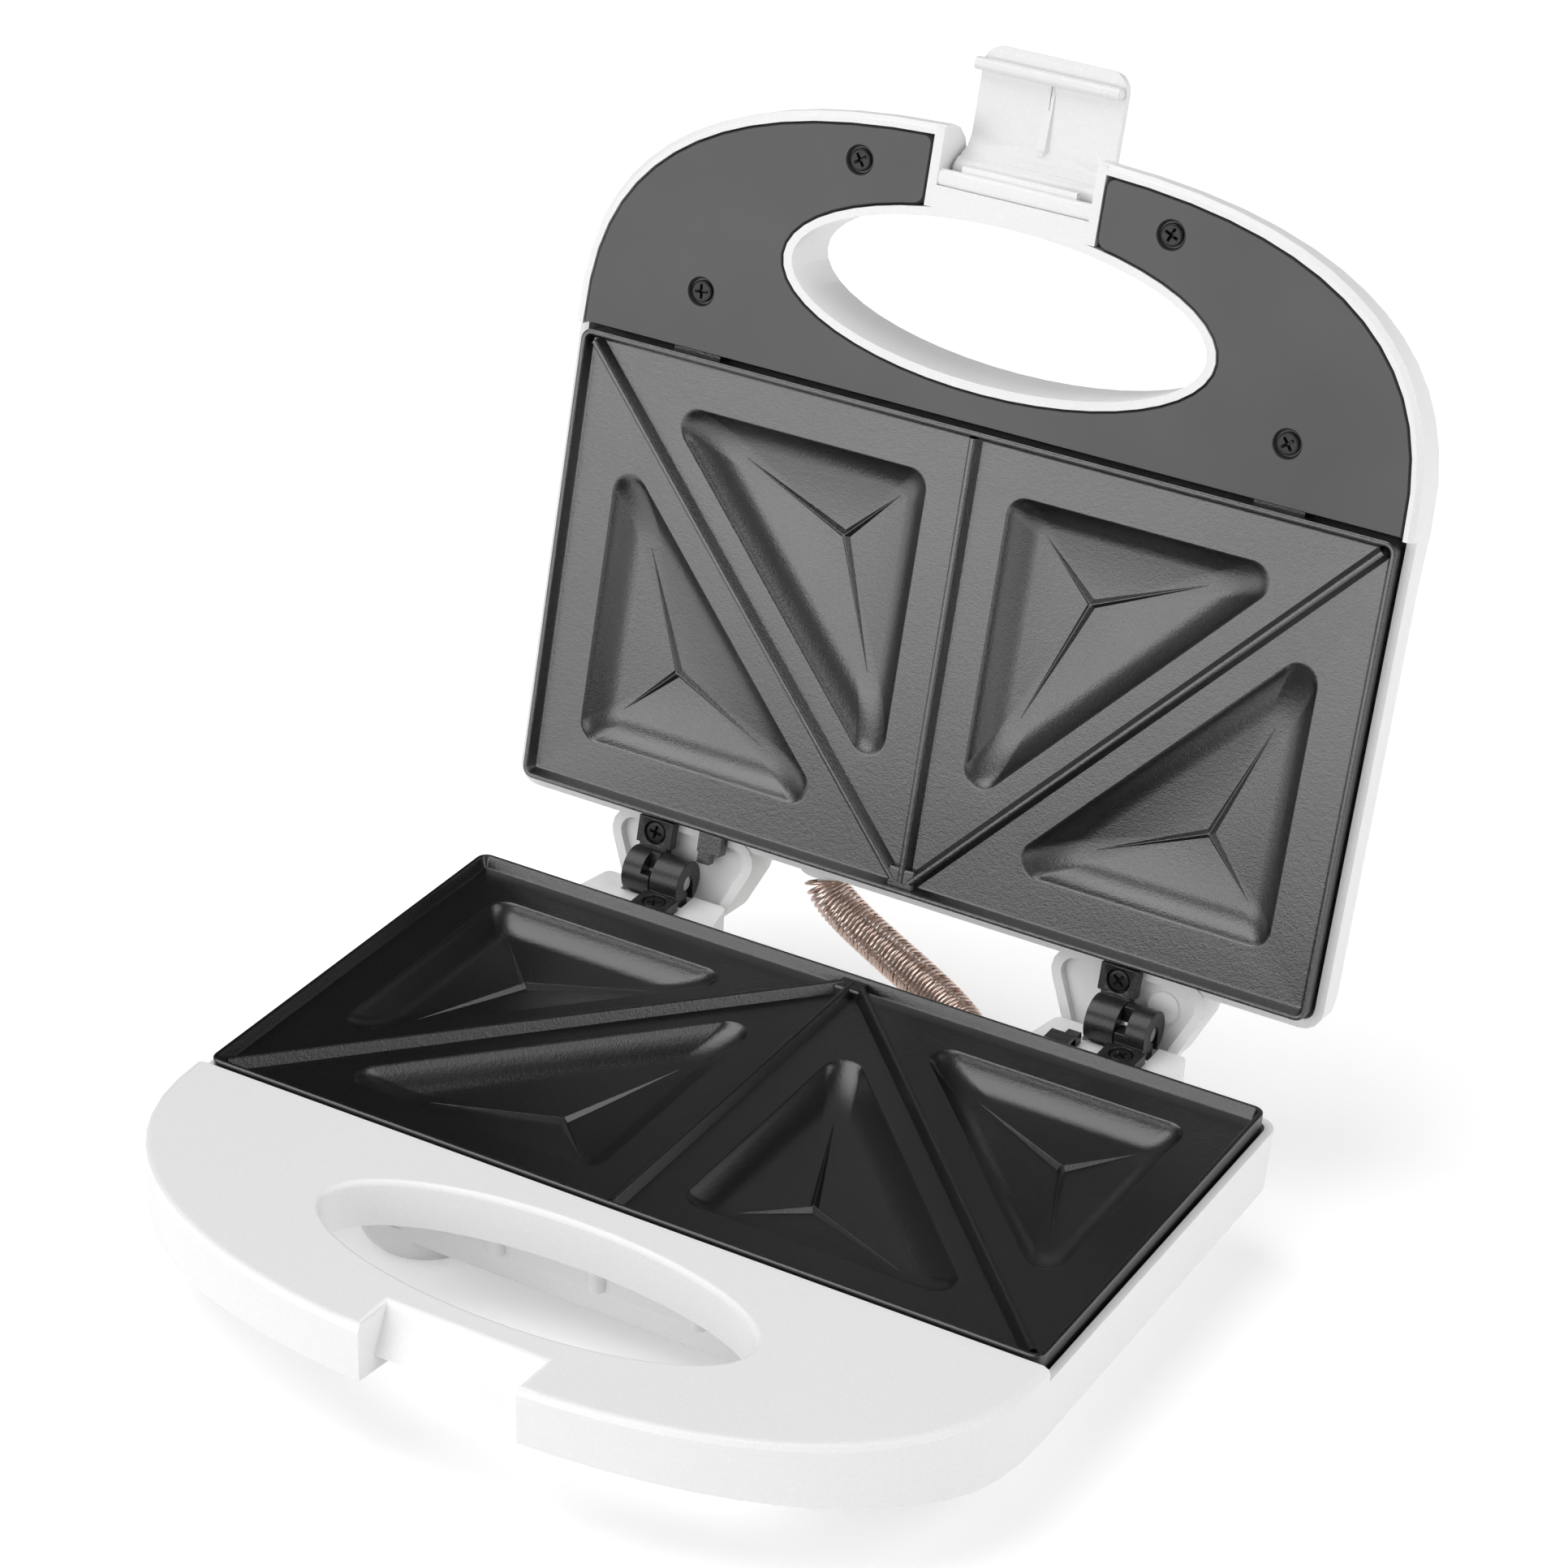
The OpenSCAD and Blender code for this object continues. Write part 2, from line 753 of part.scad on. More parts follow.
// Housing boss that meets a plate's post, and the well for its screw
module post_boss(z_out) {
    for (x = [-post_x, post_x])
        rod([x, post_y, -z_out + 0.5], 5, z_out - 0.5 + post_z);
}

module post_wells(z_out) {
    for (x = [-post_x, post_x]) {
        rod([x, post_y, -z_out - 5], 3.4, z_out + 5 + post_z - 3);
        rod([x, post_y, -z_out], 1.8, z_out + post_z + 1);
    }
}

module post_screws() {
    for (x = [-post_x, post_x])
        translate([x, post_y, post_z - 3])
            rotate([180, 0, 0])
                translate([0, 0, 2])
                    cross_screw(3, 2, 1.4, 11);
}

module guard_collar() {
    rotate([-90, 0, 0])
        difference() {
            translate([0, 0, -wall/2])
                cylinder(r = guard_r + 2.2, h = collar_l + wall/2);
            cylinder(r = guard_r + 0.7, h = collar_l + 1);
        }
}

gland_x = -16;
gland_z = -15.2;
gland_r = 4.4;

// Slanting wall behind the base's notch, with the lip that the clip's bead hooks under
notch_foot = pivot_y - clip_face - 0.3 + 1;
module base_notch_wall() {
    in_y = wall*0.9;
    across(-notch_x - eps, notch_x + eps, [
        [notch_top + in_y, -face_z - eps], [notch_top, -face_z], [notch_foot, lip_z],
        [notch_foot + in_y, lip_z], [notch_top + in_y, -face_z - face_t]
    ]);
}

module notch_cut(back, z0, z1) {
    translate([-notch_x, -reach - 5, z0])
        cube([2*notch_x, reach + 5 + back, z1 - z0]);
}

module base_notch_sides() {
    both_sides()
        intersection() {
            slab(base_house(0.8), -skirt_h, -face_z - 0.6);
            translate([notch_x, -reach - 5, -skirt_h])
                cube([wall, reach + 5 + notch_top + wall, skirt_h]);
        }
}

module base_shell() {
    color("white")
        sit()
            difference() {
                union() {
                    difference() {
                        union() {
                            difference() {
                                base_outer();
                                handle_hollow();
                                translate([0, 0, -skirt_h + wall])
                                    linear_extrude(big)
                                        polygon(rounded(box4(well_x, -plate_fit, well_y), 0, 3.5));
                                translate([-big/2, -plate_fit, -side_drop])
                                    cube([big, big, big]);
                                notch_cut(notch_top, -big, big);
                            }
                            both_sides()
                                base_pod();
                            base_collar();
                            base_notch_sides();
                        }
                        under_handle();
                    }
                    base_notch_wall();
                    bowl();
                    for (f = feet)
                        translate([f[0], f[1], 0])
                            foot(f[2]);
                    for (x = [-27, 0, 27])
                        rod([x, -plate_fit - wall, -skirt_h + 0.5], 2.4, skirt_h - face_z - face_t);
                    for (x = [-lug_x, lug_x])
                        rod([x, lug_y + 5, lug_z - 1], 1.9, lug_t + seat + 1.5);
                    translate(guard_base)
                        guard_collar();
                }
                difference() {
                    bowl_inside();
                    post_boss(bowl_h);
                    for (x = [-well_x, well_x - 4], y = [18, plate_d - 22])
                        translate([x, y, -big/2])
                            cube([4, 3, big/2 - rim_z - plate_h]);
                }
                post_wells(bowl_h);
                for (f = feet)
                    rod([f[0], f[1], foot_z + pad_in + wall], foot_flat, 12);
                both_sides()
                    translate([lug_x - lug_w/2 - 0.5, -plate_fit - wall - 1, lug_z - 0.5])
                        cube([lug_w + 1, wall + 2, lug_t + 0.5 + seat]);
                lug_room();
                oval(grip_a, grip_b, -grip_y, -big/2, big/2);
                for (s = bracket_screws)
                    rod([s, hinge_y - screw_back, -16], 1.5, 20);
                translate(guard_base + [0, -wall - 5, 0])
                    rotate([-90, 0, 0])
                        cylinder(r = sleeve_r + 0.3, h = 12);
                translate([gland_x, rear_y - wall - 5, gland_z])
                    rotate([-90, 0, 0])
                        cylinder(r = gland_r + 0.1, h = 12);
            }
}

module base_collar() {
    difference() {
        oval(grip_a + collar_t, grip_b + collar_t, -grip_y, -face_z - collar_h, -face_z - eps);
        oval(grip_a, grip_b, -grip_y, -big, big);
    }
}

module lower_plate_screws() {
    color("silver")
        in_base()
            post_screws();
}

// Grommet in the cord inlet of the base's rear wall
module cord_gland() {
    color([0.9, 0.9, 0.88])
        sit()
            translate([gland_x, rear_y, gland_z])
                rotate([-90, 0, 0])
                    difference() {
                        union() {
                            translate([0, 0, -wall - 1.6])
                                cylinder(r = gland_r, h = wall + 3.4);
                            translate([0, 0, 0.05])
                                cylinder(r = gland_r + 1.5, h = 1.8);
                            translate([0, 0, -wall - 1.6])
                                cylinder(r = gland_r + 1, h = 1.5);
                        }
                        translate([0, 0, -10])
                            cylinder(r = 3, h = 20);
                    }
}

// Mains terminal block on the bowl's floor
module terminal_block() {
    color("ivory")
        sit()
            difference() {
                translate([-48, plate_d - 40, -bowl_h + wall + seat])
                    cube([30, 14, 6.5]);
                for (x = [-43, -33, -23]) {
                    translate([x, plate_d - 41, -bowl_h + wall + 3.5])
                        rotate([-90, 0, 0])
                            cylinder(r = 1.6, h = 20);
                    for (y = [plate_d - 37, plate_d - 30])
                        rod([x, y, -bowl_h + wall + 3.5], 1.3, 10);
                }
            }
}

// ---------- hinges ----------
// Bracket and knuckle of the base's side, about the hinge axis, knuckle towards +X
module hinge_half(window) {
    x0 = knuckle_gap/2;
    difference() {
        union() {
            translate([x0 + (knuckle_l - bracket_w)/2, -hinge_back + plate_fit, -pod_top])
                cube([bracket_w, hinge_back - plate_fit - knuckle_r - 0.5, bracket_t]);
            translate([x0, -knuckle_r - 1, -pod_top])
                cube([knuckle_l, knuckle_r + 1, bracket_t]);
            cross_rod([x0, 0, 0], knuckle_r, knuckle_l);
        }
        cross_rod([x0 - 1, 0, 0], pin_r + run_fit, knuckle_l + 2);
        translate([x0 - 1, -0.2, -knuckle_r - 1])
            cube([knuckle_l + 2, pin_r + 0.6, knuckle_r + 1]);
        rod([screw_off, -screw_back, -pod_top - 1], 1.7, 10);
        rod([screw_off, -screw_back, -bracket_z - 1.2], 3.1, 5);
        if (window)
            translate([x0 - 1, -knuckle_r - 1, 1.2])
                cube([3.6, knuckle_r, knuckle_r]);
    }
}

module base_hinge(side, window) {
    color([0.12, 0.12, 0.12])
        sit()
            translate([side*hinge_x, hinge_y, 0])
                hinge_half(window);
}

module lid_hinge(side, window) {
    color([0.12, 0.12, 0.12])
        raise()
            translate([side*hinge_x, hinge_y, 0])
                rotate([0, 180, 0])
                    hinge_half(window);
}

module base_hinge_left() {
    base_hinge(-1, false);
}

module base_hinge_right() {
    base_hinge(1, true);
}

module lid_hinge_left() {
    lid_hinge(-1, true);
}

module lid_hinge_right() {
    lid_hinge(1, false);
}

module bracket_screw() {
    translate([0, 0, -bracket_z - 0.3])
        cross_screw(2.9, 0.9, 1.4, 12);
}

module base_hinge_screws() {
    color([0.15, 0.15, 0.15])
        sit()
            for (s = bracket_screws)
                translate([s, hinge_y - screw_back, 0])
                    bracket_screw();
}

module lid_hinge_screws() {
    color([0.15, 0.15, 0.15])
        in_lid()
            for (s = bracket_screws)
                translate([s, hinge_y - screw_back, 0])
                    bracket_screw();
}

module hinge_pins() {
    l = 2*knuckle_l + knuckle_gap - 1;
    color("silver")
        sit()
            for (side = [-1, 1])
                cross_rod([side*hinge_x - l/2, hinge_y, 0], pin_r, l);
}

// ---------- lid housing, drawn closed ----------
// Height of the lid's outside above the parting plane, along the depth
function smooth(t) = let (k = min(max(t, 0), 1)) k*k*(3 - 2*k);
function slope_z(y) = face_z + handle_h + (y + reach)*0.11;
function roof(y) = let (k = smooth((y - slope_y0)/(slope_y1 - slope_y0)))
    slope_z(min(y, slope_y0 + 10))*(1 - k) + dome_h*k;

// Shoulder of the lid: [share of the radius in, share of the radius down]
shoulder = [[0, 1], [0.08, 0.62], [0.29, 0.29], [0.62, 0.08], [1, 0]];

// One ring of the lid's shoulder, blended from the handle's rounding to the dome's
function lid_ring(inset, drop, s) = let (
        a = lid_house(inset + s[0]*grip_round[0]),
        b = lid_house(inset + draft*0.6 + s[0]*dome_round[0]))
    [for (i = [0:len(a) - 1])
        let (
            k = smooth((a[i][1] - slope_y0)/(slope_y1 - slope_y0)),
            p = a[i]*(1 - k) + b[i]*k,
            down = grip_round[1]*(1 - k) + dome_round[1]*k)
        [p[0], p[1], roof(p[1]) - drop - s[1]*down]];

module lid_form(inset, drop, z0) {
    straight = drop > 0 ? 4.4 : 1.2;
    loft(concat(
        [level(lid_house(inset + (drop > 0 ? 0 : 1.2)), z0),
         level(lid_house(inset), z0 + straight)],
        [for (s = shoulder) lid_ring(inset, drop, s)]
    ));
}

module lid_pod(inset, z0, z1) {
    loft([for (s = [[0, 0], [1.5, 0.75], [5, 1]])
        level(rounded([[pod_in, well_y], [pod_out, well_y],
            [pod_end_out, hinge_y + pod_reach], [pod_end_in, hinge_y + pod_reach]],
            inset + s[0]*0.6, 6 - inset, 5), z0 + (z1 - z0)*s[1])]);
}

module cover_bosses(z0, r) {
    for (p = cover_points)
        rod([p[0], p[1], z0], r, big/4);
}
cover_points = [for (s = [-1, 1]) each [[s*41.2, -reach + 13], [s*lug_x, -16]]];
cover_t = 2.2;

lens_x = 10;
lens_y = 26;
lens_r = 3.5;

// Bars across the notch that stop the clip from falling in
module lid_ledges() {
    translate([-notch_x - eps, notch_top - 1.8, face_z + 0.8])
        cube([2*notch_x + 2*eps, 2.4, 1.8]);
    translate([-notch_x + 5, notch_top - 3.4, face_z + 2.2])
        cube([2*notch_x - 10, 2.4, 1.6]);
}

module lid_shell() {
    color("white")
        raise()
            difference() {
                union() {
                    difference() {
                        lid_form(0, 0, face_z);
                        lid_form(wall, wall, face_z - 2);
                        translate([-big/2, -plate_fit, side_drop - big])
                            cube([big, big, big]);
                        notch_cut(lid_notch, face_z - 1, big);
                    }
                    both_sides()
                        difference() {
                            lid_pod(0, pod_rim, pod_h);
                            lid_pod(wall, pod_rim - 2, pod_h - wall);
                        }
                    intersection() {
                        union() {
                            lid_form(0.5, 0.3, face_z);
                            both_sides()
                                lid_pod(0.5, pod_rim, pod_h - 0.5);
                        }
                        lid_inside();
                    }
                    lid_ledges();
                    mirror([1, 0, 0])
                        translate([-guard_lid[0], guard_lid[1], guard_lid[2]])
                            guard_collar();
                }
                oval(grip_a, lid_grip_b, -grip_y, -big/2, big/2);
                rotate([0, 180, 0])
                    lug_room();
                for (p = cover_points)
                    rod([p[0], p[1], 0], 1.4, face_z + handle_h - wall);
                for (s = bracket_screws)
                    rod([-s, hinge_y - screw_back, 0], 1.5, 15);
                cross_rod([-notch_x - 1.8, pivot_y, pivot_z], pivot_r + run_fit, 2*notch_x + 3.6);
                for (x = [-lens_x, lens_x])
                    rod([x, lens_y, dome_h - 10], lens_r + 0.1, 20);
                translate(guard_lid + [0, -wall - 5, 0])
                    rotate([-90, 0, 0])
                        cylinder(r = sleeve_r + 0.3, h = 12);
            }
}

// Collar, bosses and ribs inside the lid
module lid_inside() {
    oval(grip_a + collar_t, lid_grip_b + collar_t, -grip_y, face_z, big/4);
    intersection() {
        cover_bosses(face_z + cover_t + seat, 4);
        translate([-big/2, -big/2, 0])
            cube([big, big/2 - 40, big]);
    }
    intersection() {
        cover_bosses(face_z + face_t + lug_t + 2*seat, 4);
        translate([-big/2, -40, 0])
            cube([big, 40, big]);
    }
    rotate([0, 180, 0])
        post_boss(dome_h);
    for (s = bracket_screws)
        rod([-s, hinge_y - screw_back, pod_top], boss_r, big/4);
    translate([-notch_x - wall, lid_notch, face_z])
        cube([2*(notch_x + wall), wall, big/4]);
    translate([-notch_x - wall, lid_notch, face_z])
        cube([2*(notch_x + wall), bridge_y - lid_notch - 0.1, face_t]);
    both_sides()
        translate([notch_x, -reach - 5, face_z])
            cube([wall, reach + 5 + lid_notch + wall, big/4]);
    translate([-house_x, -plate_fit - wall, side_drop + 4])
        cube([2*house_x, wall, big/4]);
    for (x = [-well_x, well_x - 4], y = [18, plate_d - 22])
        translate([x, y, rim_z + plate_h])
            cube([4, 3, 12]);
}

// Flat dark face that closes the lid's handle
module handle_cover() {
    gap = 0.2;
    color([0.3, 0.3, 0.31])
        raise()
            difference() {
                intersection() {
                    slab(lid_house(wall + gap), face_z, face_z + cover_t);
                    translate([-big/2, -big, 0])
                        cube([big, big - 1, big]);
                }
                oval(grip_a + collar_t + gap, lid_grip_b + collar_t + gap, -grip_y, -big/2, big/2);
                translate([-notch_x - wall - gap, -big, -big/2])
                    cube([2*(notch_x + wall + gap), big + bridge_y, big]);
                for (p = cover_points) {
                    rod([p[0], p[1], 0], 1.7, 10);
                    rod([p[0], p[1], face_z - 1], 3.2, 2.2);
                }
            }
}

module cover_screws() {
    color([0.12, 0.12, 0.12])
        raise()
            for (p = cover_points)
                translate([p[0], p[1], face_z + 0.2])
                    rotate([180, 0, 0])
                        cross_screw(2.9, 0.95, 1.35, 11);
}

module lens(x) {
    raise() {
        translate([x, lens_y, dome_h - wall - 1.5])
            cylinder(r = lens_r, h = wall + 1.7);
        translate([x, lens_y, dome_h - wall - 2.5])
            cylinder(r = lens_r + 1, h = 2.3);
        translate([x, lens_y, dome_h + 0.2])
            rotate_extrude()
                polygon(concat([[0, 0]], [for (k = [0:5]) [lens_r*cos(18*k), 0.8*sin(18*k)]]));
    }
}

module power_lens() {
    color("red")
        lens(-lens_x);
}

module ready_lens() {
    color("green")
        lens(lens_x);
}

// Neon lamps behind the lenses
module indicator_lamps() {
    color("orange")
        raise()
            for (x = [-lens_x, lens_x])
                translate([x, lens_y, dome_h - wall - 2.7 - 5]) {
                    cylinder(r = 2.2, h = 5);
                    for (y = [-1, 1])
                        rod([0, y, -1.5], 0.35, 2);
                }
}

// ---------- latch clip, drawn open and lying along -Y ----------
module latch_clip() {
    tip_r = 5;
    color("white")
        raise()
            translate([0, pivot_y, pivot_z])
                union() {
                    intersection() {
                        across(-clip_x, clip_x, concat(
                            [[-clip_l, clip_face + clip_t], [-clip_l - 1, clip_face + clip_t - 1],
                             [-clip_l, clip_face], [-8, clip_face], [-5, clip_face - 1.4],
                             [-3.4, 0]],
                            [for (k = [0:5]) 3.2*[-cos(30*k), -sin(30*k)]],
                            [for (k = [0:5])
                                (clip_face + clip_t)*[sin(90 - 18*k)*0.5, cos(90 - 18*k)]]));
                        linear_extrude(big, center = true)
                            polygon(rounded(box4(clip_x, -clip_l - 1, big/4), 0, tip_r));
                    }
                    cross_rod([-clip_x - 1, -bead_y, bead_z], bead_r, clip_w);
                    across(-1, 1, [[-bead_y + 3, clip_face + eps], [-8, clip_face + eps],
                        [-8, clip_face - 1.3], [-bead_y + 4, clip_face - 0.3]]);
                    cross_rod([-notch_x - 1.5, 0, 0], pivot_r, 2*notch_x + 3);
                }
}

// ---------- guard spring and its sleeve ----------
sleeve_r = 2.1;
off_line = [0.5, 0.6, -0.6];                  // a direction that the guard never runs along
guard_p0 = guard_base + [0, seat + wire_r, 0];
guard_p3 = opened(guard_lid + [0, seat + wire_r, 0]);
guard_v0 = [0, 1, 0];
guard_v3 = turned([0, 1, 0]);
guard_p1 = guard_p0 + guard_v0*17;
guard_p2 = guard_p3 + guard_v3*11.5;

function curve(t) = pow(1 - t, 3)*guard_p0 + 3*t*pow(1 - t, 2)*guard_p1
    + 3*t*t*(1 - t)*guard_p2 + pow(t, 3)*guard_p3;
function slope(t) = unit(
    3*pow(1 - t, 2)*(guard_p1 - guard_p0) + 6*t*(1 - t)*(guard_p2 - guard_p1)
    + 3*t*t*(guard_p3 - guard_p2));

steps = 60;
lengths = [for (i = 0, s = 0; i <= steps;
    i = i + 1, s = i <= steps ? s + norm(curve(i/steps) - curve((i - 1)/steps)) : s) s];
guard_l = lengths[steps];
even = [for (i = [0:steps]) [lengths[i]/guard_l, i/steps]];

// Point at share s of the guard's length, r off its middle line, turned by angle a
function beside(s, r, a) = let (
        t = lookup(s, even),
        v = slope(t),
        u = unit(cross(v, off_line)),
        w = cross(v, u))
    curve(t) + r*(cos(a)*u + sin(a)*w);

turns = curls*ring_n;
lead_in = 2*wire_r/guard_l;
coil_path = concat(
    [beside(0, coil_r, 0), beside(lead_in, coil_r, 0)],
    [for (i = [1:turns - 1])
        beside(lead_in + (1 - 2*lead_in)*i/turns, coil_r, 360*i/ring_n)],
    [beside(1 - lead_in, coil_r, 0), beside(1, coil_r, 0)]);

// A tube of n sides along a list of points; each ring's first side is square to its facing
module tube(path, facing, r, n) {
    last = len(path) - 1;
    dirs = [for (i = [0:last]) unit(path[min(i + 1, last)] - path[max(i - 1, 0)])];
    sides = [for (i = [0:last]) unit(cross(dirs[i], facing[i]))];
    rings = [for (i = [0:last])
        let (w = cross(dirs[i], sides[i]))
        [for (k = [0:n - 1]) path[i] + r*(cos(360*k/n)*sides[i] + sin(360*k/n)*w)]];
    polyhedron(
        points = [for (g = rings, p = g) p],
        faces = concat(
            [[for (k = [0:n - 1]) k]],
            [for (i = [0:last - 1], k = [0:n - 1])
                let (j = (k + 1) % n)
                each [[i*n + k, (i + 1)*n + k, (i + 1)*n + j], [i*n + k, (i + 1)*n + j, i*n + j]]],
            [[for (k = [n - 1:-1:0]) last*n + k]]));
}

module guard_spring() {
    gaps = [for (i = [0:len(coil_path) - ring_n - 6], j = [i + 4:i + ring_n + 5])
        norm(coil_path[i] - coil_path[j])];
    echo(guard_length = guard_l, least_gap = min(gaps) - 2*wire_r);
    last = len(coil_path) - 1;
    facing = [for (i = [0:last]) slope(lookup(i/last, even)) + [0.013, 0, 0]];
    color([0.75, 0.5, 0.4])
        sit()
            tube(coil_path, facing, wire_r, tube_n);
}

module guard_sleeve() {
    path = concat(
        [guard_p0 - guard_v0*(seat + wire_r + wall + 2)],
        [for (i = [0:16]) beside(i/16, 0, 0)],
        [guard_p3 - guard_v3*(seat + wire_r + wall + 2)]);
    color("white")
        sit()
            tube(path, [for (p = path) off_line], sleeve_r, 8);
}

base_shell();
foot_pads();
lower_plate();
lower_plate_screws();
lower_element();
lower_reflector();
lower_reflector_screws();
thermostat();
terminal_block();
cord_gland();
base_hinge_left();
base_hinge_right();
base_hinge_screws();
hinge_pins();
guard_spring();
guard_sleeve();
lid_shell();
handle_cover();
cover_screws();
upper_plate();
upper_element();
upper_reflector();
upper_reflector_screws();
thermal_fuse();
lid_hinge_left();
lid_hinge_right();
lid_hinge_screws();
power_lens();
ready_lens();
indicator_lamps();
latch_clip();
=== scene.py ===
"""Hinged sandwich toaster: finishes, finer plates and guard, light and camera."""
import bisect
import math

import bmesh
import bpy
from mathutils import Matrix, Vector, geometry


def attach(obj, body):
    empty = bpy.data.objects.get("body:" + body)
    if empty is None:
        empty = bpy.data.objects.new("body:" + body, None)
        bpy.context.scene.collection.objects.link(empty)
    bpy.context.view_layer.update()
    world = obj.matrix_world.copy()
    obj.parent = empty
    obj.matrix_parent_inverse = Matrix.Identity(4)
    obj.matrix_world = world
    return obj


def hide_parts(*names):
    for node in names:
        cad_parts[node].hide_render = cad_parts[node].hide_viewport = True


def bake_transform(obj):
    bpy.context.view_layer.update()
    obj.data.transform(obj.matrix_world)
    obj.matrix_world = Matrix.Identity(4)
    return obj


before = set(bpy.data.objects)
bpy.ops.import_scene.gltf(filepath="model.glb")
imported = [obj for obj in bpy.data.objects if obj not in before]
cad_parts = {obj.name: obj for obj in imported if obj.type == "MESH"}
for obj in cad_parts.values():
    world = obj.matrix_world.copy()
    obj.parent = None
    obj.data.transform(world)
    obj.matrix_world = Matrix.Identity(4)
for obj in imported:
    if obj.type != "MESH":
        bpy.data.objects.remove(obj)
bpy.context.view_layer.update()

MM = 0.001

# The parting plane's height above the table, how far the part's middle lies behind the
# plates' front edge, and how far the lid stands open
STAND = 40.0
MIDDLE_Y = 62.7406
LID_OPEN = math.radians(102)

# Light: the room's level in front of the part and behind it, and the floor's own share,
# which only the eye, gloss and clear plastic see
ROOM_FRONT = 0.34
ROOM_BACK = 0.04
FLOOR_GLOW = 0.4
FLOOR_SIZE = 15

# Broad lights, each with its direction, strength and spread in degrees, and the softbox
BROAD_LIGHTS = (("overhead", (-0.40, -0.16, 0.88), 1.6, 54),
                ("side", (0.80, 0.06, 0.40), 1.35, 60),
                ("rear", (0.55, 0.84, 0.12), 0.4, 50))
SOFTBOX_PLACE = (-0.5, -1.15, 0.37)
SOFTBOX_TARGET = (0, 0, 0.12)
SOFTBOX_SIZE = (1.3, 0.72)
SOFTBOX_POWER = 6.4

# Camera: its place, the angles that it looks along, in degrees, and its lens
CAMERA_PLACE = (0.4276, -0.7863, 0.6053)
AZIMUTH = 28.17
ELEVATION = 28.53
ROLL = 2.90
LENS = 102.65
SENSOR = 36

# Surface effects: how strong the lighter specks are, and how many drifts fit in a metre
SPECK_SHARE = 0.5
DRIFT_SIZE = 25.0

# Angle, in degrees, above which an edge counts as crisp on a carried-over part, on a new
# piece, and where a moulding's edges are softened
PART_CRISP = 33.0
PIECE_CRISP = 34.0
MOULDING_CRISP = 40.0

# How wide crisp edges are softened, on each kind of piece
SHELL_SOFT = 0.35
COVER_SOFT = 0.22
CASTING_SOFT = 0.3
CLIP_SOFT = 0.3
FITTING_SOFT = 0.2
PIN_SOFT = 0.1

# Cooking plate, in millimetres about the parting plane, y = 0 at its front edge
PLATE_W = 220.0
PLATE_D = 119.0
PLATE_R = 3.0
RIM_H = 3.0
RIM_Z = 0.5
CAST_T = 2.2
POCKET_H = 5.6
CREASE_DROP = 2.0
POCKET_SLOPE = 9.0
POCKET_BROW = 1.5
POCKET_R = 5.0
POCKET_FOOT_R = 3.0
POCKET_STEPS = (0, 0.3, 0.6, 0.9, 1.3, 1.8, 2.5, 3.3, 4.2, 5.2, 6.3, 7.6, POCKET_SLOPE)
CREASE_H = 1.5
EDGE_MARGIN = 13.3
MIDDLE_MARGIN = 10.8
RIDGE_MARGIN = 8.0
HINGE_Y = 133.2

# Cross-sections of the plate: its rim from underneath over its top to the flat, as inset and
# height; its creases and its ridges, as distance to the side and height, with how far their
# tops are rounded and how small a crease is at its tip
RIM_PROFILE = ((2.6, -RIM_H - CAST_T), (2.6, -8.8), (2.4, -9), (0.5, -8.98), (0.3, -8.8),
               (0, -0.6), (0.08, -0.25), (0.3, -0.06), (0.6, 0), (0.92, -0.02), (1.2, -0.14),
               (1.36, -0.4), (2.1, -2.35), (2.35, -2.8), (2.8, -RIM_H))
CREASE_PROFILE = ((-1.25, -0.1), (1.25, -0.1), (0, CREASE_H))
CREASE_ROUND = 0.3
CREASE_TIP = 0.1
RIDGE_PROFILE = ((-2, -0.3), (2, -0.3), (1.85, 0), (0.6, 2.55), (-0.6, 2.55), (-1.85, 0))
RIDGE_ROUND = 0.4

# The pad where the ridges meet: half its width, its ends from the hinge edge, its top
PAD_HALF = 3.7
PAD_FRONT = 6.6
PAD_BACK = 1.3
PAD_TOP = -0.8
PAD_ROUND = 0.6

# Cast on the plate's underside: posts for its own screws and for the heat tray
POST_X = 25
POST_Y = 112.3
POST_FOOT = -17.3
POST_R = 4
POST_H = 13
TRAY_POST_X = 0.1
TRAY_POST_Y = 12
TRAY_POST_FOOT = -17
TRAY_POST_R = 3.2
TRAY_POST_H = 12.6

# Cast lugs: two in front, and one of two steps behind, given by left edge, reach and top
LUG_X = 78.7
LUG_HALF = 6.5
LUG_Y = (-21, 1.5)
LUG_Z = (-6.2, -3.7)
REAR_LUG = ((50.5, 5.4, -0.8), (53.5, 8.6, -1.6))
REAR_LUG_RIGHT = 57
REAR_LUG_FOOT = -4.2

# Screws: shanks and heads, how many degrees each cross is turned past the last one's, and
# their places across and along the part
SHANK_R = 1.35
HEAD_R = 2.8
BRACKET_SCREW_L = 12
COVER_SCREW_L = 11
CROSS_TURN = 31
BRACKET_SCREWS = (-61.35, 69.65)
BRACKET_SCREW_Y = 123.3
BRACKET_HEAD_Z = -1.8
COVER_SCREWS = ((-41.2, -57.0), (41.2, -57.0), (-78.7, -16.0), (78.7, -16.0))
COVER_HEAD_Z = 1.7

# Cover of the lid's handle: its face above the parting plane, the groove round it, and its
# two tips beside the clip, at a distance from the middle and a place along the part
COVER_Z = 1.5
COVER_GROOVE = 0.5
COVER_GROOVE_DEPTH = 0.9
COVER_CORNER_R = 2.4
COVER_GAP = 22.8
COVER_TIP_Y = -50

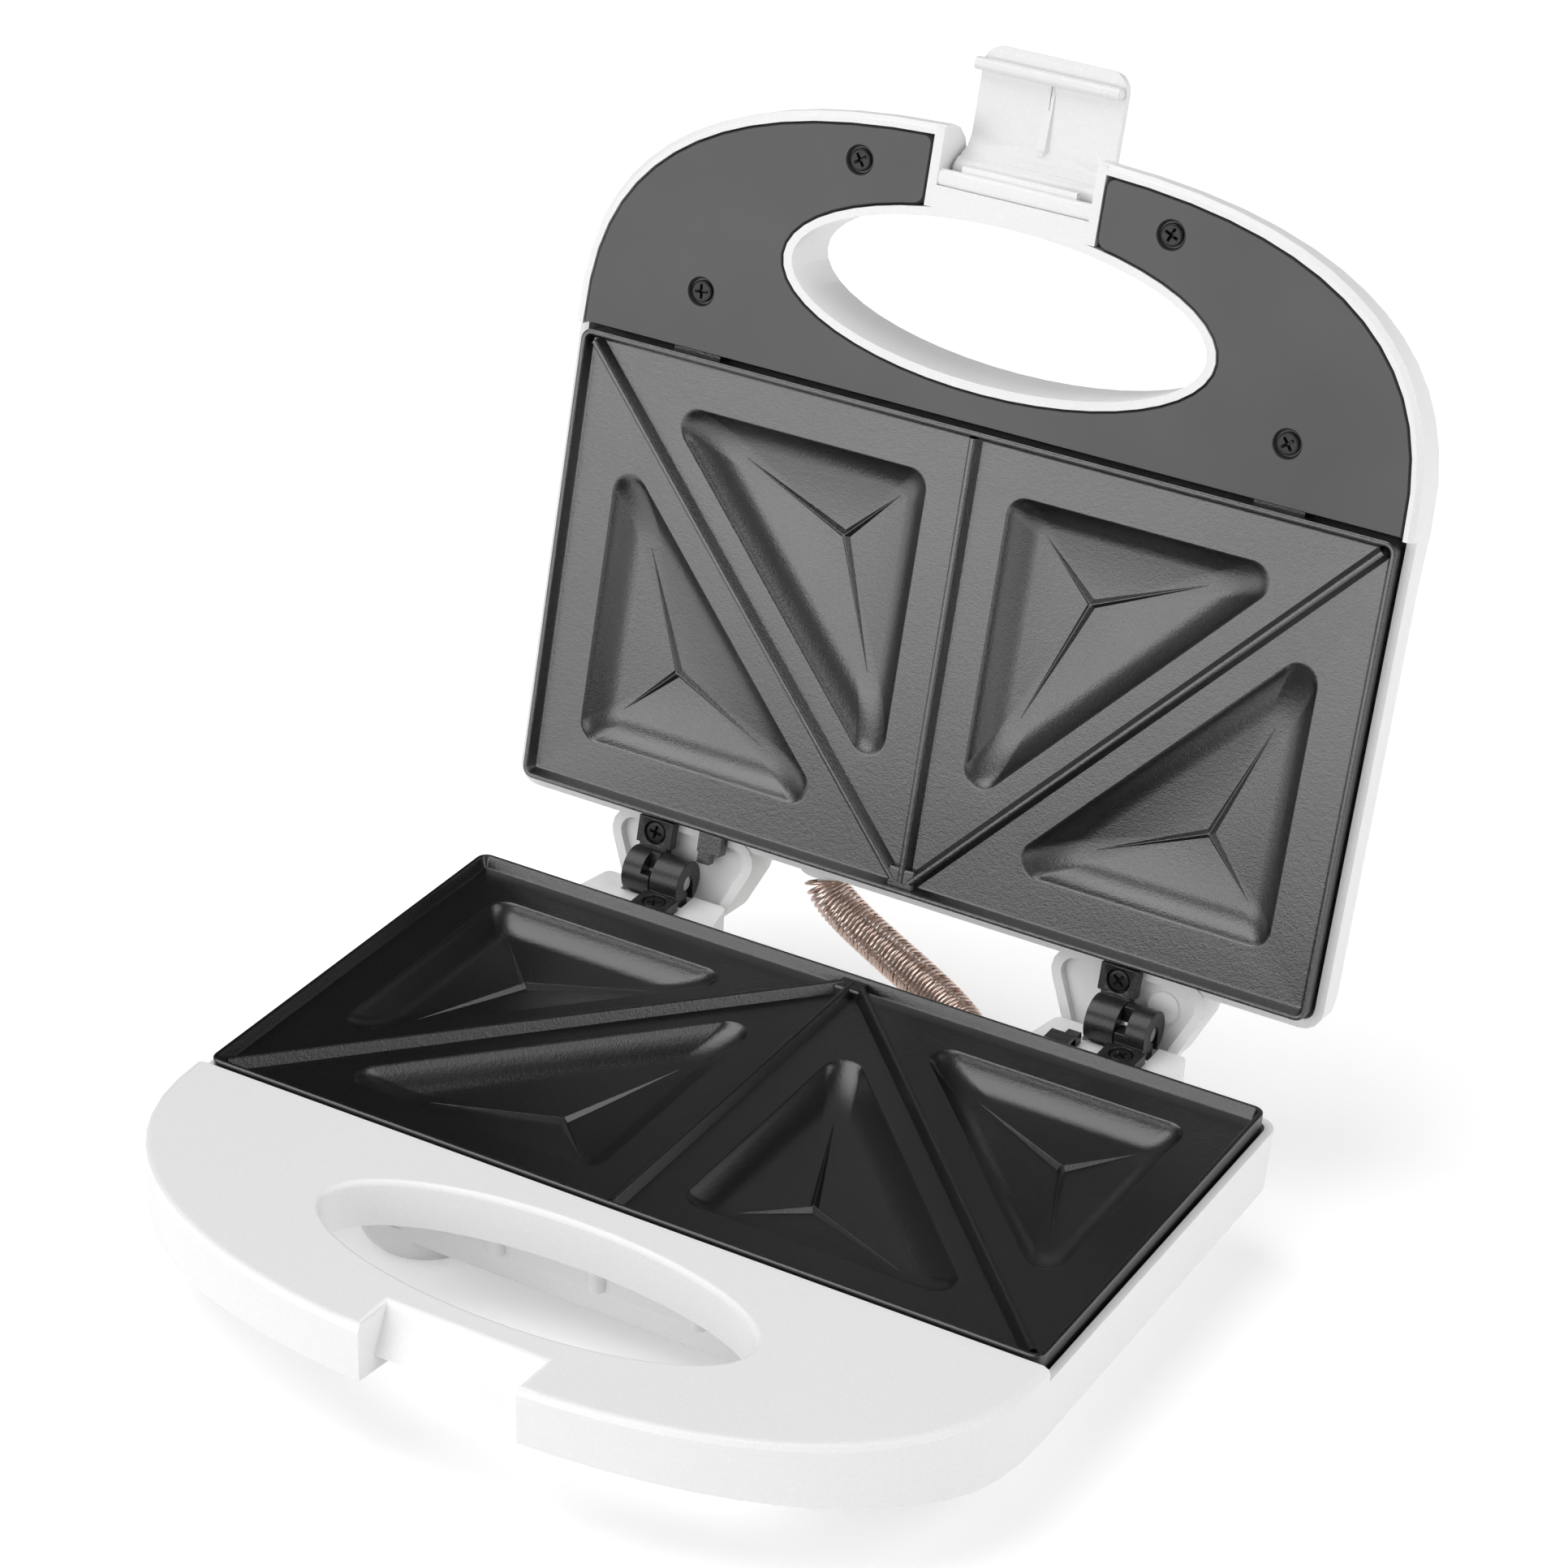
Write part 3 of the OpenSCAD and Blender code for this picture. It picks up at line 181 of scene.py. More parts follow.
# Bar in the lid's notch. Clip: its body, where its inside face lies, its bead with the ends'
# distances from the middle, and its rib
REST_BAR = ((-20.25, -59.5, 1.75), (20.25, -55.4, 4.4))
REST_BAR_R = 1.2
CLIP_BODY = "latch"
CLIP_PLACE = (0, -59.2, 10.0)
BEAD_R = 1.64
BEAD_RIGHT = 18.3
BEAD_LEFT = 17.2
BEAD_Y = -25
BEAD_Z = -3.0
RIB_PROFILE = ((-2.3, -0.3), (2.3, -0.3), (0.8, 1.1), (-0.8, 1.1))
RIB_START = (0, -6.5, -4.3)
RIB_END = (0, -23.4, -4.3)
RIB_ROUND = 0.4
RIB_TIP = 0.4

# Handle of the base: how far its face lies under the parting plane, and its edge's rounding
HANDLE_TOP = 1.5
HANDLE_ROUND = 1.3

# Hinge pods of the lid: inner corners, how high their floors lie, and the floors' round plugs
POD_CORNERS = ((41.2, 121.5), (85.0, 121.5), (74.8, 141.7), (51.2, 141.7))
POD_CORNER_R = 5
POD_FLOOR_Z = 6.7
POD_FLOOR_T = 1.2
PLUG_X = 72.2
PLUG_Y = 128.2
PLUG_R = 4.2
PLUG_H = 0.9
PLUG_RISE = 0.7
PLUG_ROUND = 0.35

# Wire guard between the collars of the base's rear wall and the lid's: its ends' places, how
# far it stands off them, how far it runs straight out of each, and its winding
GUARD_BASE = (28.0, 122.5, -15.5)
GUARD_LID = (-26.0, 122.5, 13.5)
GUARD_SEAT = 2.35
GUARD_BASE_REACH = 15.5
GUARD_LID_REACH = 10
GUARD_STEPS = 400
GUARD_R = 5.5
GUARD_WIRE = 0.48
GUARD_CURLS = 50
CURL_STEPS = 14

# Sleeve in the guard: its radius, its steps, and how far it goes on into the walls
SLEEVE_R = 2.1
SLEEVE_STEPS = 40
SLEEVE_TAIL = 6.9


# ---------- places ----------
def base_place():
    """Carries a base piece drawn about the parting plane to its place on the table."""
    return Matrix.Scale(MM, 4) @ Matrix.Translation((0, -MIDDLE_Y, STAND))


def lid_place():
    """Carries a lid piece drawn closed to its place on the open lid."""
    turn = Matrix.Rotation(-LID_OPEN, 4, "X")
    axis = Matrix.Translation((0, HINGE_Y, 0))
    return base_place() @ axis @ turn @ axis.inverted()


# ---------- shader effects ----------
def new_group(name, inputs, outputs):
    """A shader node group with named value inputs and named outputs."""
    group = bpy.data.node_groups.new(name, "ShaderNodeTree")
    for label, kind, value in inputs:
        socket = group.interface.new_socket(label, in_out="INPUT", socket_type=kind)
        socket.default_value = value
    for label, kind in outputs:
        group.interface.new_socket(label, in_out="OUTPUT", socket_type=kind)
    nodes = group.nodes
    return group, nodes.new("NodeGroupInput"), nodes.new("NodeGroupOutput")


def speckle_group():
    """Fine sprayed grain: a height for bumps and a mask for lighter specks, which on the base's
    coating also stand for painted glints.
    """
    group, source, sink = new_group(
        "sprayed_grain",
        [("Size", "NodeSocketFloat", 900.0), ("Specks", "NodeSocketFloat", 0.5)],
        [("Height", "NodeSocketFloat"), ("Mask", "NodeSocketFloat")])
    nodes, links = group.nodes, group.links
    coords = nodes.new("ShaderNodeTexCoord")
    fine = nodes.new("ShaderNodeTexNoise")
    fine.inputs["Detail"].default_value = 2.0
    fine.inputs["Roughness"].default_value = 0.6
    coarse = nodes.new("ShaderNodeTexNoise")
    coarse.inputs["Detail"].default_value = 1.0
    half = nodes.new("ShaderNodeMath")
    half.operation = "MULTIPLY"
    half.inputs[1].default_value = 0.35
    links.new(source.outputs["Size"], half.inputs[0])
    links.new(source.outputs["Size"], fine.inputs["Scale"])
    links.new(half.outputs[0], coarse.inputs["Scale"])
    for texture in (fine, coarse):
        links.new(coords.outputs["Object"], texture.inputs["Vector"])
    both = nodes.new("ShaderNodeMath")
    both.operation = "MULTIPLY_ADD"
    both.inputs[1].default_value = 0.6
    links.new(coarse.outputs["Fac"], both.inputs[0])
    links.new(fine.outputs["Fac"], both.inputs[2])
    links.new(both.outputs[0], sink.inputs["Height"])
    specks = nodes.new("ShaderNodeMapRange")
    specks.inputs["From Min"].default_value = 0.5
    specks.inputs["From Max"].default_value = 0.68
    links.new(fine.outputs["Fac"], specks.inputs["Value"])
    share = nodes.new("ShaderNodeMath")
    share.operation = "MULTIPLY"
    links.new(specks.outputs["Result"], share.inputs[0])
    links.new(source.outputs["Specks"], share.inputs[1])
    links.new(share.outputs[0], sink.inputs["Mask"])
    return group


def cloud_group():
    """Slow uneven drift over a surface, for handling marks and paint depth."""
    group, source, sink = new_group(
        "slow_drift",
        [("Size", "NodeSocketFloat", 25.0), ("Low", "NodeSocketFloat", 0.0),
         ("High", "NodeSocketFloat", 1.0)],
        [("Value", "NodeSocketFloat")])
    nodes, links = group.nodes, group.links
    coords = nodes.new("ShaderNodeTexCoord")
    cloud = nodes.new("ShaderNodeTexNoise")
    cloud.inputs["Detail"].default_value = 3.0
    links.new(coords.outputs["Object"], cloud.inputs["Vector"])
    links.new(source.outputs["Size"], cloud.inputs["Scale"])
    spread = nodes.new("ShaderNodeMapRange")
    spread.inputs["From Min"].default_value = 0.3
    spread.inputs["From Max"].default_value = 0.7
    links.new(cloud.outputs["Fac"], spread.inputs["Value"])
    links.new(source.outputs["Low"], spread.inputs["To Min"])
    links.new(source.outputs["High"], spread.inputs["To Max"])
    links.new(spread.outputs["Result"], sink.inputs["Value"])
    return group


GRAIN = speckle_group()
DRIFT = cloud_group()


def finish_of(name, colour, rough, spread=0.06, tint=None, tint_share=0.5, grain=900.0,
              bump=0.05, metal=0.0, coat=0.0, **plain):
    """A finish: a grained colour with a drifting gloss. Constants go on the shader itself."""
    material = bpy.data.materials.new(name)
    material.use_nodes = True
    nodes, links = material.node_tree.nodes, material.node_tree.links
    shader = nodes["Principled BSDF"]
    sprayed = nodes.new("ShaderNodeGroup")
    sprayed.node_tree = GRAIN
    sprayed.inputs["Size"].default_value = grain
    sprayed.inputs["Specks"].default_value = SPECK_SHARE
    drifting = nodes.new("ShaderNodeGroup")
    drifting.node_tree = DRIFT
    drifting.inputs["Size"].default_value = DRIFT_SIZE
    drifting.inputs["Low"].default_value = max(rough - spread, 0.02)
    drifting.inputs["High"].default_value = rough + spread
    links.new(drifting.outputs["Value"], shader.inputs["Roughness"])
    mix = nodes.new("ShaderNodeMix")
    mix.data_type = "RGBA"
    mix.inputs["A"].default_value = (*colour, 1)
    mix.inputs["B"].default_value = (*(tint or [min(c*1.15, 1) for c in colour]), 1)
    share = nodes.new("ShaderNodeMath")
    share.operation = "MULTIPLY"
    share.inputs[1].default_value = tint_share
    links.new(sprayed.outputs["Mask"], share.inputs[0])
    links.new(share.outputs[0], mix.inputs["Factor"])
    links.new(mix.outputs["Result"], shader.inputs["Base Color"])
    relief = nodes.new("ShaderNodeBump")
    relief.inputs["Strength"].default_value = bump
    relief.inputs["Distance"].default_value = 0.1*MM
    links.new(sprayed.outputs["Height"], relief.inputs["Height"])
    links.new(relief.outputs["Normal"], shader.inputs["Normal"])
    shader.inputs["Metallic"].default_value = metal
    shader.inputs["Coat Weight"].default_value = coat
    for socket, value in plain.items():
        shader.inputs[socket.replace("_", " ")].default_value = value
    return material


WHITE = finish_of("white_moulding", (0.86, 0.86, 0.857), 0.36, 0.05, grain=1400, bump=0.04)
COVER = finish_of("grey_cover_moulding", (0.045, 0.045, 0.047), 0.34, 0.05, grain=1600,
                  bump=0.05)
# One non-stick coating in two copies with painted shade and light: the base's copy painted
# darker, the lid's copy painted lighter, for how the light falls on each plate.
LOWER_COAT_PAINTED_DARKER = finish_of("coating_painted_darker_for_base", (0.002, 0.002, 0.0021), 0.24, 0.03,
                       # Its lighter specks (tint and tint_share) are partly the coating's grain
                       # and partly painted glints.
                       tint=(0.022, 0.022, 0.022), tint_share=0.9, grain=2600, bump=0.6,
                       IOR=1.75)
UPPER_COAT_PAINTED_LIGHTER = finish_of("coating_painted_lighter_for_lid", (0.004, 0.004, 0.0042), 0.27, 0.03,
                       tint=(0.05, 0.05, 0.05), tint_share=0.9, grain=2600, bump=0.8,
                       IOR=1.95)
CASTING = finish_of("black_painted_casting", (0.012, 0.012, 0.012), 0.33, 0.05,
                    tint=(0.1, 0.1, 0.1), grain=2400, bump=0.4)
SCREW = finish_of("black_oxide_screw", (0.015, 0.015, 0.016), 0.26, 0.05, bump=0.1, IOR=1.35)
CLIP = finish_of("clip_polymer", (0.82, 0.82, 0.817), 0.3, 0.05, grain=1200, bump=0.03)
ZINC = finish_of("zinc_plate", (0.62, 0.62, 0.6), 0.34, 0.1, metal=1.0, bump=0.1)
ALUMINIUM = finish_of("rolled_aluminium", (0.75, 0.75, 0.76), 0.38, 0.08, metal=1.0,
                      bump=0.15)
SHEATH = finish_of("heater_sheath", (0.2, 0.18, 0.16), 0.5, 0.1, metal=0.8, bump=0.3)
RUBBER = finish_of("foot_rubber", (0.06, 0.06, 0.06), 0.75, 0.05, bump=0.4, grain=600)
GLAND = finish_of("gland_polymer", (0.7, 0.7, 0.69), 0.5, 0.05, bump=0.1)
CERAMIC = finish_of("block_ceramic", (0.72, 0.66, 0.52), 0.45, 0.06, bump=0.2)
CUTOUT = finish_of("thermostat_body", (0.35, 0.22, 0.12), 0.45, 0.06, bump=0.1)
COPPER = finish_of("guard_wire", (0.66, 0.50, 0.43), 0.24, 0.05, metal=1.0, bump=0.03)
FIBRE = finish_of("glass_fibre_sleeve", (0.75, 0.72, 0.68), 0.7, 0.05, bump=0.4, grain=1500)
RED = finish_of("red_lens", (0.55, 0.02, 0.015), 0.18, 0.04, bump=0.02, coat=0.3)
GREEN = finish_of("green_lens", (0.03, 0.35, 0.06), 0.18, 0.04, bump=0.02, coat=0.3)
NEON = finish_of("neon_glass", (0.8, 0.4, 0.2), 0.12, 0.03, bump=0.02)


# ---------- edges and shading ----------
def round_over(bm, edges, width, steps):
    """Rounds edges of a mesh; a single step cuts them off flat."""
    bmesh.ops.bevel(bm, geom=edges, offset=width, offset_type="OFFSET", segments=steps,
                    profile=0.5, affect="EDGES", material=-1)


def soften(piece, width, crisp):
    """A small rounding of all of a piece's crisp edges, kept as a modifier."""
    rounding = piece.modifiers.new("soften", "BEVEL")
    rounding.width = width*MM
    rounding.segments = 2
    rounding.limit_method = "ANGLE"
    rounding.angle_limit = math.radians(crisp)
    return rounding


def even_shading(piece, weight):
    """Shading led by a piece's larger faces, its crisp edges kept."""
    even = piece.modifiers.new("even", "WEIGHTED_NORMAL")
    even.mode = "FACE_AREA"
    even.weight = weight
    even.keep_sharp = True


# ---------- carried-over parts ----------
def dress(node, material, edge):
    """Gives a carried-over part its finish, softened edges and clean shading."""
    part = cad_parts[node]
    part.data.materials.clear()
    part.data.materials.append(material)
    part.data.polygons.foreach_set("use_smooth", [True]*len(part.data.polygons))
    weld = part.modifiers.new("weld", "WELD")
    weld.merge_threshold = 1e-6
    if edge:
        soften(part, edge, PART_CRISP).miter_outer = "MITER_ARC"
    even_shading(part, 50)
    if not edge:
        split = part.modifiers.new("split", "EDGE_SPLIT")
        split.split_angle = math.radians(PART_CRISP)


for node, material, edge in (
        ("lid_shell", WHITE, SHELL_SOFT), ("foot_pads", RUBBER, FITTING_SOFT),
        ("base_hinge_left", CASTING, CASTING_SOFT), ("base_hinge_right", CASTING, CASTING_SOFT),
        ("lid_hinge_left", CASTING, CASTING_SOFT), ("lid_hinge_right", CASTING, CASTING_SOFT),
        ("hinge_pins", ZINC, PIN_SOFT), ("latch_clip", CLIP, CLIP_SOFT),
        ("cord_gland", GLAND, FITTING_SOFT), ("thermostat", CUTOUT, 0.0),
        ("terminal_block", CERAMIC, FITTING_SOFT),
        ("lower_element", SHEATH, 0.0), ("upper_element", SHEATH, 0.0),
        ("lower_reflector", ALUMINIUM, 0.0), ("upper_reflector", ALUMINIUM, 0.0),
        ("lower_reflector_screws", ZINC, 0.0), ("upper_reflector_screws", ZINC, 0.0),
        ("lower_plate_screws", ZINC, 0.0), ("thermal_fuse", ZINC, 0.0),
        ("power_lens", RED, 0.0), ("ready_lens", GREEN, 0.0), ("indicator_lamps", NEON, 0.0)):
    dress(node, material, edge)


# ---------- new pieces ----------
def carried_mesh(node, place, merge):
    """A carried-over part's mesh taken to another place, each flat area made one face."""
    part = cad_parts[node]
    bm = bmesh.new()
    bm.from_mesh(part.data)
    bmesh.ops.transform(bm, matrix=place @ part.matrix_world, verts=bm.verts)
    bmesh.ops.remove_doubles(bm, verts=bm.verts, dist=merge)
    bmesh.ops.dissolve_limit(bm, angle_limit=math.radians(0.5), verts=bm.verts,
                             edges=bm.edges, delimit=set())
    return bm


def piece_from(bm, name, material, body, place, crisp=PIECE_CRISP):
    """A finished mesh piece, shaded smooth with crisp corners, riding on a body."""
    bmesh.ops.recalc_face_normals(bm, faces=bm.faces)
    bmesh.ops.transform(bm, matrix=place, verts=bm.verts)
    mesh = bpy.data.meshes.new(name)
    bm.to_mesh(mesh)
    bm.free()
    mesh.polygons.foreach_set("use_smooth", [True]*len(mesh.polygons))
    mesh.set_sharp_from_angle(angle=math.radians(crisp))
    mesh.materials.append(material)
    piece = bpy.data.objects.new(name, mesh)
    bpy.context.scene.collection.objects.link(piece)
    even_shading(piece, 80)
    if body:
        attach(piece, body)
    return piece


def rounded(corners, inset, radius, steps):
    """A convex outline with its edges moved in and its corners rounded."""
    points = []
    count = len(corners)
    for i, corner in enumerate(corners):
        after = (corners[(i + 1) % count] - corner).normalized()
        before = (corners[i - 1] - corner).normalized()
        half = math.acos(after.dot(before))/2
        centre = corner + (after + before).normalized()*(inset + radius)/math.sin(half)
        first = math.atan2(before.x, -before.y)
        turn = (math.atan2(-after.x, after.y) - first) % (2*math.pi)
        for k in range(steps + 1):
            angle = first + turn*k/steps
            points.append(centre + radius*Vector((math.cos(angle), math.sin(angle))))
    return points


def ring(bm, outline, z):
    """A closed loop of edges at one height."""
    verts = [bm.verts.new((p.x, p.y, z)) for p in outline]
    return [bm.edges.new((verts[i - 1], verts[i])) for i in range(len(verts))]


def skin(bm, rings):
    """Walls between one ring and the next."""
    for low, high in zip(rings, rings[1:]):
        bmesh.ops.bridge_loops(bm, edges=low + high)


def plate_outline(inset):
    """The plate's rounded outline, moved in by inset."""
    half = PLATE_W/2
    corners = [Vector(p) for p in ((-half, 0), (half, 0), (half, PLATE_D), (-half, PLATE_D))]
    return rounded(corners, inset, max(PLATE_R - inset, 0.6), 6)


def pocket_triangles():
    """Corners of the right-hand inner and outer pockets at the plate's flat."""
    half = PLATE_W/2
    normal = Vector((PLATE_D, half)).normalized()
    reach = normal.x*half
    near, far = reach - RIDGE_MARGIN, reach + RIDGE_MARGIN
    inner = [Vector((MIDDLE_MARGIN, EDGE_MARGIN)),
             Vector(((near - normal.y*EDGE_MARGIN)/normal.x, EDGE_MARGIN)),
             Vector((MIDDLE_MARGIN, (near - normal.x*MIDDLE_MARGIN)/normal.y))]
    outer_x, outer_y = half - EDGE_MARGIN, PLATE_D - EDGE_MARGIN
    outer = [Vector((outer_x, outer_y)),
             Vector(((far - normal.y*outer_y)/normal.x, outer_y)),
             Vector((outer_x, (far - normal.x*outer_x)/normal.y))]
    return inner, outer


def mirror_outline(points):
    """The same outline on the other side of the part's middle, still anticlockwise."""
    return [Vector((-p.x, p.y)) for p in reversed(points)]


def meeting_point(corners):
    """Centre of the triangle's inner circle, where the creases meet."""
    weights = [(corners[(i + 1) % 3] - corners[(i + 2) % 3]).length for i in range(3)]
    return sum((c*w for c, w in zip(corners, weights)), Vector((0, 0)))/sum(weights)


def wall_depth(run):
    """Depth of a pocket's wall at a distance in from its edge: crisp brow, long hollow foot."""
    hollow = 1 - (1 - run/POCKET_SLOPE)**2.2
    brow = 1 - max(1 - run/POCKET_BROW, 0)**2
    return POCKET_H*hollow*brow


def pocket_skin(bm, corners, grow):
    """Sloping walls and three-way floor of a pocket; gives back its upper edge loop."""
    rings = []
    for run in POCKET_STEPS:
        corner_r = POCKET_R + grow - (POCKET_R - POCKET_FOOT_R)*run/POCKET_SLOPE
        outline = rounded(corners, run - grow, corner_r, 8)
        rings.append(ring(bm, outline, -RIM_H - wall_depth(run) - grow))
    skin(bm, rings)
    floor = bmesh.ops.contextual_create(bm, geom=rings[-1])["faces"]
    hub = bmesh.ops.poke(bm, faces=floor)["verts"][0]
    middle = meeting_point(corners)
    hub.co = (middle.x, middle.y, -RIM_H - POCKET_H - CREASE_DROP - grow)
    return rings[0]


def box(bm, low, high):
    """A box between two corners."""
    low, high = Vector(low), Vector(high)
    made = bmesh.ops.create_cube(bm, size=1)["verts"]
    bmesh.ops.scale(bm, vec=high - low, verts=made)
    bmesh.ops.translate(bm, vec=(low + high)/2, verts=made)
    return made


def rod(bm, foot, radius, length, segments=32):
    """An upright rod standing on foot."""
    middle = Vector(foot) + Vector((0, 0, length/2))
    return bmesh.ops.create_cone(
        bm, cap_ends=True, segments=segments, radius1=radius, radius2=radius, depth=length,
        matrix=Matrix.Translation(middle))["verts"]


def profile_bar(bm, section, start, end, top_round, taper=1.0):
    """A bar of one cross-section, its far end shrunk to taper, its upper edges rounded."""
    along = end - start
    across = Vector((-along.y, along.x, 0)).normalized()
    first = [bm.verts.new(start + across*side + Vector((0, 0, z))) for side, z in section]
    face = bm.faces.new(first)
    made = bmesh.ops.extrude_face_region(bm, geom=[face], use_keep_orig=True)["geom"]
    verts = [g for g in made if isinstance(g, bmesh.types.BMVert)]
    bmesh.ops.translate(bm, vec=along, verts=verts)
    if taper < 1:
        for v in verts:
            off = v.co - end
            side = off.dot(across)
            v.co -= across*side*(1 - taper)
            v.co.z = end.z + off.z*taper
    top = max(z for _, z in section)
    edges = [e for v in first if abs(v.co.z - start.z - top) < 1e-4 for e in v.link_edges
             if abs((e.verts[0].co - e.verts[1].co).normalized().dot(across)) < 0.9
             and (e.verts[0].co - e.verts[1].co).length > along.length*0.9]
    round_over(bm, edges, top_round, 3)


def crease(bm, corners, corner):
    """A raised crease from where the creases meet towards a corner, thinning to a point."""
    hub = meeting_point(corners)
    away = corners[corner] - hub
    along = away.normalized()
    edge = (corners[(corner + 1) % 3] - corners[corner]).normalized()
    sine = math.sqrt(1 - edge.dot(along)**2)
    far = corners[corner] - along*((POCKET_SLOPE + POCKET_FOOT_R)/sine - POCKET_FOOT_R - 1)
    near = hub - along*0.5
    floor = -RIM_H - POCKET_H
    start = Vector((near.x, near.y, floor - CREASE_DROP))
    end = Vector((far.x, far.y, floor + 0.05))
    profile_bar(bm, CREASE_PROFILE, start, end, CREASE_ROUND, CREASE_TIP)


def ridge(bm, start, end):
    """A parting ridge with sloping sides."""
    profile_bar(bm, RIDGE_PROFILE, Vector((*start, -RIM_H)), Vector((*end, -RIM_H)),
                RIDGE_ROUND)


def ridge_pad(bm):
    """The low pad that joins the three ridges to the rim at the hinge side."""
    made = box(bm, (-PAD_HALF, PLATE_D - PAD_FRONT, -RIM_H - 0.3),
               (PAD_HALF, PLATE_D - PAD_BACK, PAD_TOP))
    edges = {e for v in made for e in v.link_edges
             if min(w.co.z for w in e.verts) > -RIM_H
             or abs(e.verts[0].co.z - e.verts[1].co.z) > 1}
    round_over(bm, list(edges), PAD_ROUND, 3)


def cooking_plate(name, finish, body, place, node):
    """A cast cooking plate: rim, flat, four pockets with creases, ridges and lugs."""
    bm = bmesh.new()
    half = PLATE_W/2
    rim = [ring(bm, plate_outline(inset), z) for inset, z in RIM_PROFILE]
    skin(bm, rim)
    triangles = [t for right in pocket_triangles() for t in (right, mirror_outline(right))]
    upper = [pocket_skin(bm, t, 0) for t in triangles]
    under = [pocket_skin(bm, t, CAST_T) for t in triangles]
    for outer, holes in ((rim[-1], upper), (rim[0], under)):
        bmesh.ops.triangle_fill(bm, use_beauty=True, use_dissolve=False, normal=(0, 0, 1),
                                edges=outer + [e for h in holes for e in h])
    for t in triangles:
        for corner in range(3):
            crease(bm, t, corner)
    ridge(bm, (0, 2), (0, PLATE_D - 3))
    ridge_pad(bm)
    for side in (-1, 1):
        ridge(bm, (side*2.5, PLATE_D - 3.5), (side*(half - 3.5), 3))
        rod(bm, (side*POST_X, POST_Y, POST_FOOT), POST_R, POST_H)
        rod(bm, (side*TRAY_POST_X, PLATE_D/2 + side*TRAY_POST_Y, TRAY_POST_FOOT),
            TRAY_POST_R, TRAY_POST_H)
        box(bm, (side*LUG_X - LUG_HALF, LUG_Y[0], LUG_Z[0]),
            (side*LUG_X + LUG_HALF, LUG_Y[1], LUG_Z[1]))
    for left, reach, top in REAR_LUG:
        box(bm, (left, PLATE_D - 1, REAR_LUG_FOOT), (REAR_LUG_RIGHT, PLATE_D + reach, top))
    piece = piece_from(bm, name, finish, body, place)
    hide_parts(node)


flat_plate = Matrix.Translation((0, 0, -RIM_Z))
turned_over = Matrix.Rotation(math.pi, 4, "Y")
# The base's plate takes the coating copy painted darker, the lid's plate the copy painted
# lighter.
cooking_plate("lower_cooking_plate", LOWER_COAT_PAINTED_DARKER, "base",
              base_place() @ flat_plate, "lower_plate")
cooking_plate("upper_cooking_plate", UPPER_COAT_PAINTED_LIGHTER, "lid",
              lid_place() @ turned_over @ flat_plate, "upper_plate")


# ---------- screws in view ----------
def circle(radius, steps=48):
    """A round outline about the origin."""
    return [Vector((math.cos(k), math.sin(k)))*radius
            for k in (2*math.pi*i/steps for i in range(steps))]


def cross_outline(reach, half):
    """Outline of a driver's cross."""
    arm = [Vector((reach, -half)), Vector((reach, half)), Vector((half, half))]
    turns = [Matrix.Rotation(math.radians(90*k), 2) for k in range(4)]
    return [turn @ p for turn in turns for p in arm]


def cross_screw(bm, place, length):
    """A pan-head screw, its head's top at z = 0, with a cross recess that narrows downwards."""
    sheet = bmesh.new()
    head = [ring(sheet, circle(r), z) for r, z in (
        (SHANK_R, -length), (SHANK_R, -0.95), (HEAD_R - 0.1, -0.94), (HEAD_R, -0.84),
        (HEAD_R, -0.42), (HEAD_R - 0.1, -0.2), (HEAD_R - 0.32, -0.06), (HEAD_R - 0.6, 0))]
    recess = [ring(sheet, cross_outline(reach, half), z) for reach, half, z in (
        (1.85, 0.4, 0.01), (1.78, 0.36, -0.1), (1.25, 0.32, -0.9), (0.7, 0.3, -1.5))]
    skin(sheet, head)
    skin(sheet, recess)
    bmesh.ops.triangle_fill(sheet, use_beauty=True, use_dissolve=False, normal=(0, 0, 1),
                            edges=head[-1] + recess[0])
    bmesh.ops.contextual_create(sheet, geom=head[0])
    bmesh.ops.contextual_create(sheet, geom=recess[-1])
    bmesh.ops.recalc_face_normals(sheet, faces=sheet.faces)
    bmesh.ops.transform(sheet, matrix=place, verts=sheet.verts)
    mesh = bpy.data.meshes.new("screw")
    sheet.to_mesh(mesh)
    sheet.free()
    bm.from_mesh(mesh)
    bpy.data.meshes.remove(mesh)


def screw_set(name, body, place, spots, length, node, turn):
    """One node's screws at their spots, each cross turned a little further than the last."""
    bm = bmesh.new()
    for i, spot in enumerate(spots):
        turned = Matrix.Rotation(math.radians(turn + CROSS_TURN*i), 4, "Z")
        cross_screw(bm, spot @ turned, length)
    piece = piece_from(bm, name, SCREW, body, place)
    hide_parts(node)


bracket_spots = [Matrix.Translation((x, BRACKET_SCREW_Y, BRACKET_HEAD_Z))
                 for x in BRACKET_SCREWS]
cover_spots = [Matrix.Translation((x, y, COVER_HEAD_Z)) @ Matrix.Rotation(math.pi, 4, "X")
               for x, y in COVER_SCREWS]
screw_set("base_bracket_screws", "base", base_place(), bracket_spots,
          BRACKET_SCREW_L, "base_hinge_screws", 20)
screw_set("lid_bracket_screws", "lid", lid_place() @ turned_over,
          bracket_spots, BRACKET_SCREW_L, "lid_hinge_screws", 50)
screw_set("cross_head_cover_screws", "lid", lid_place(), cover_spots,
          COVER_SCREW_L, "cover_screws", 35)


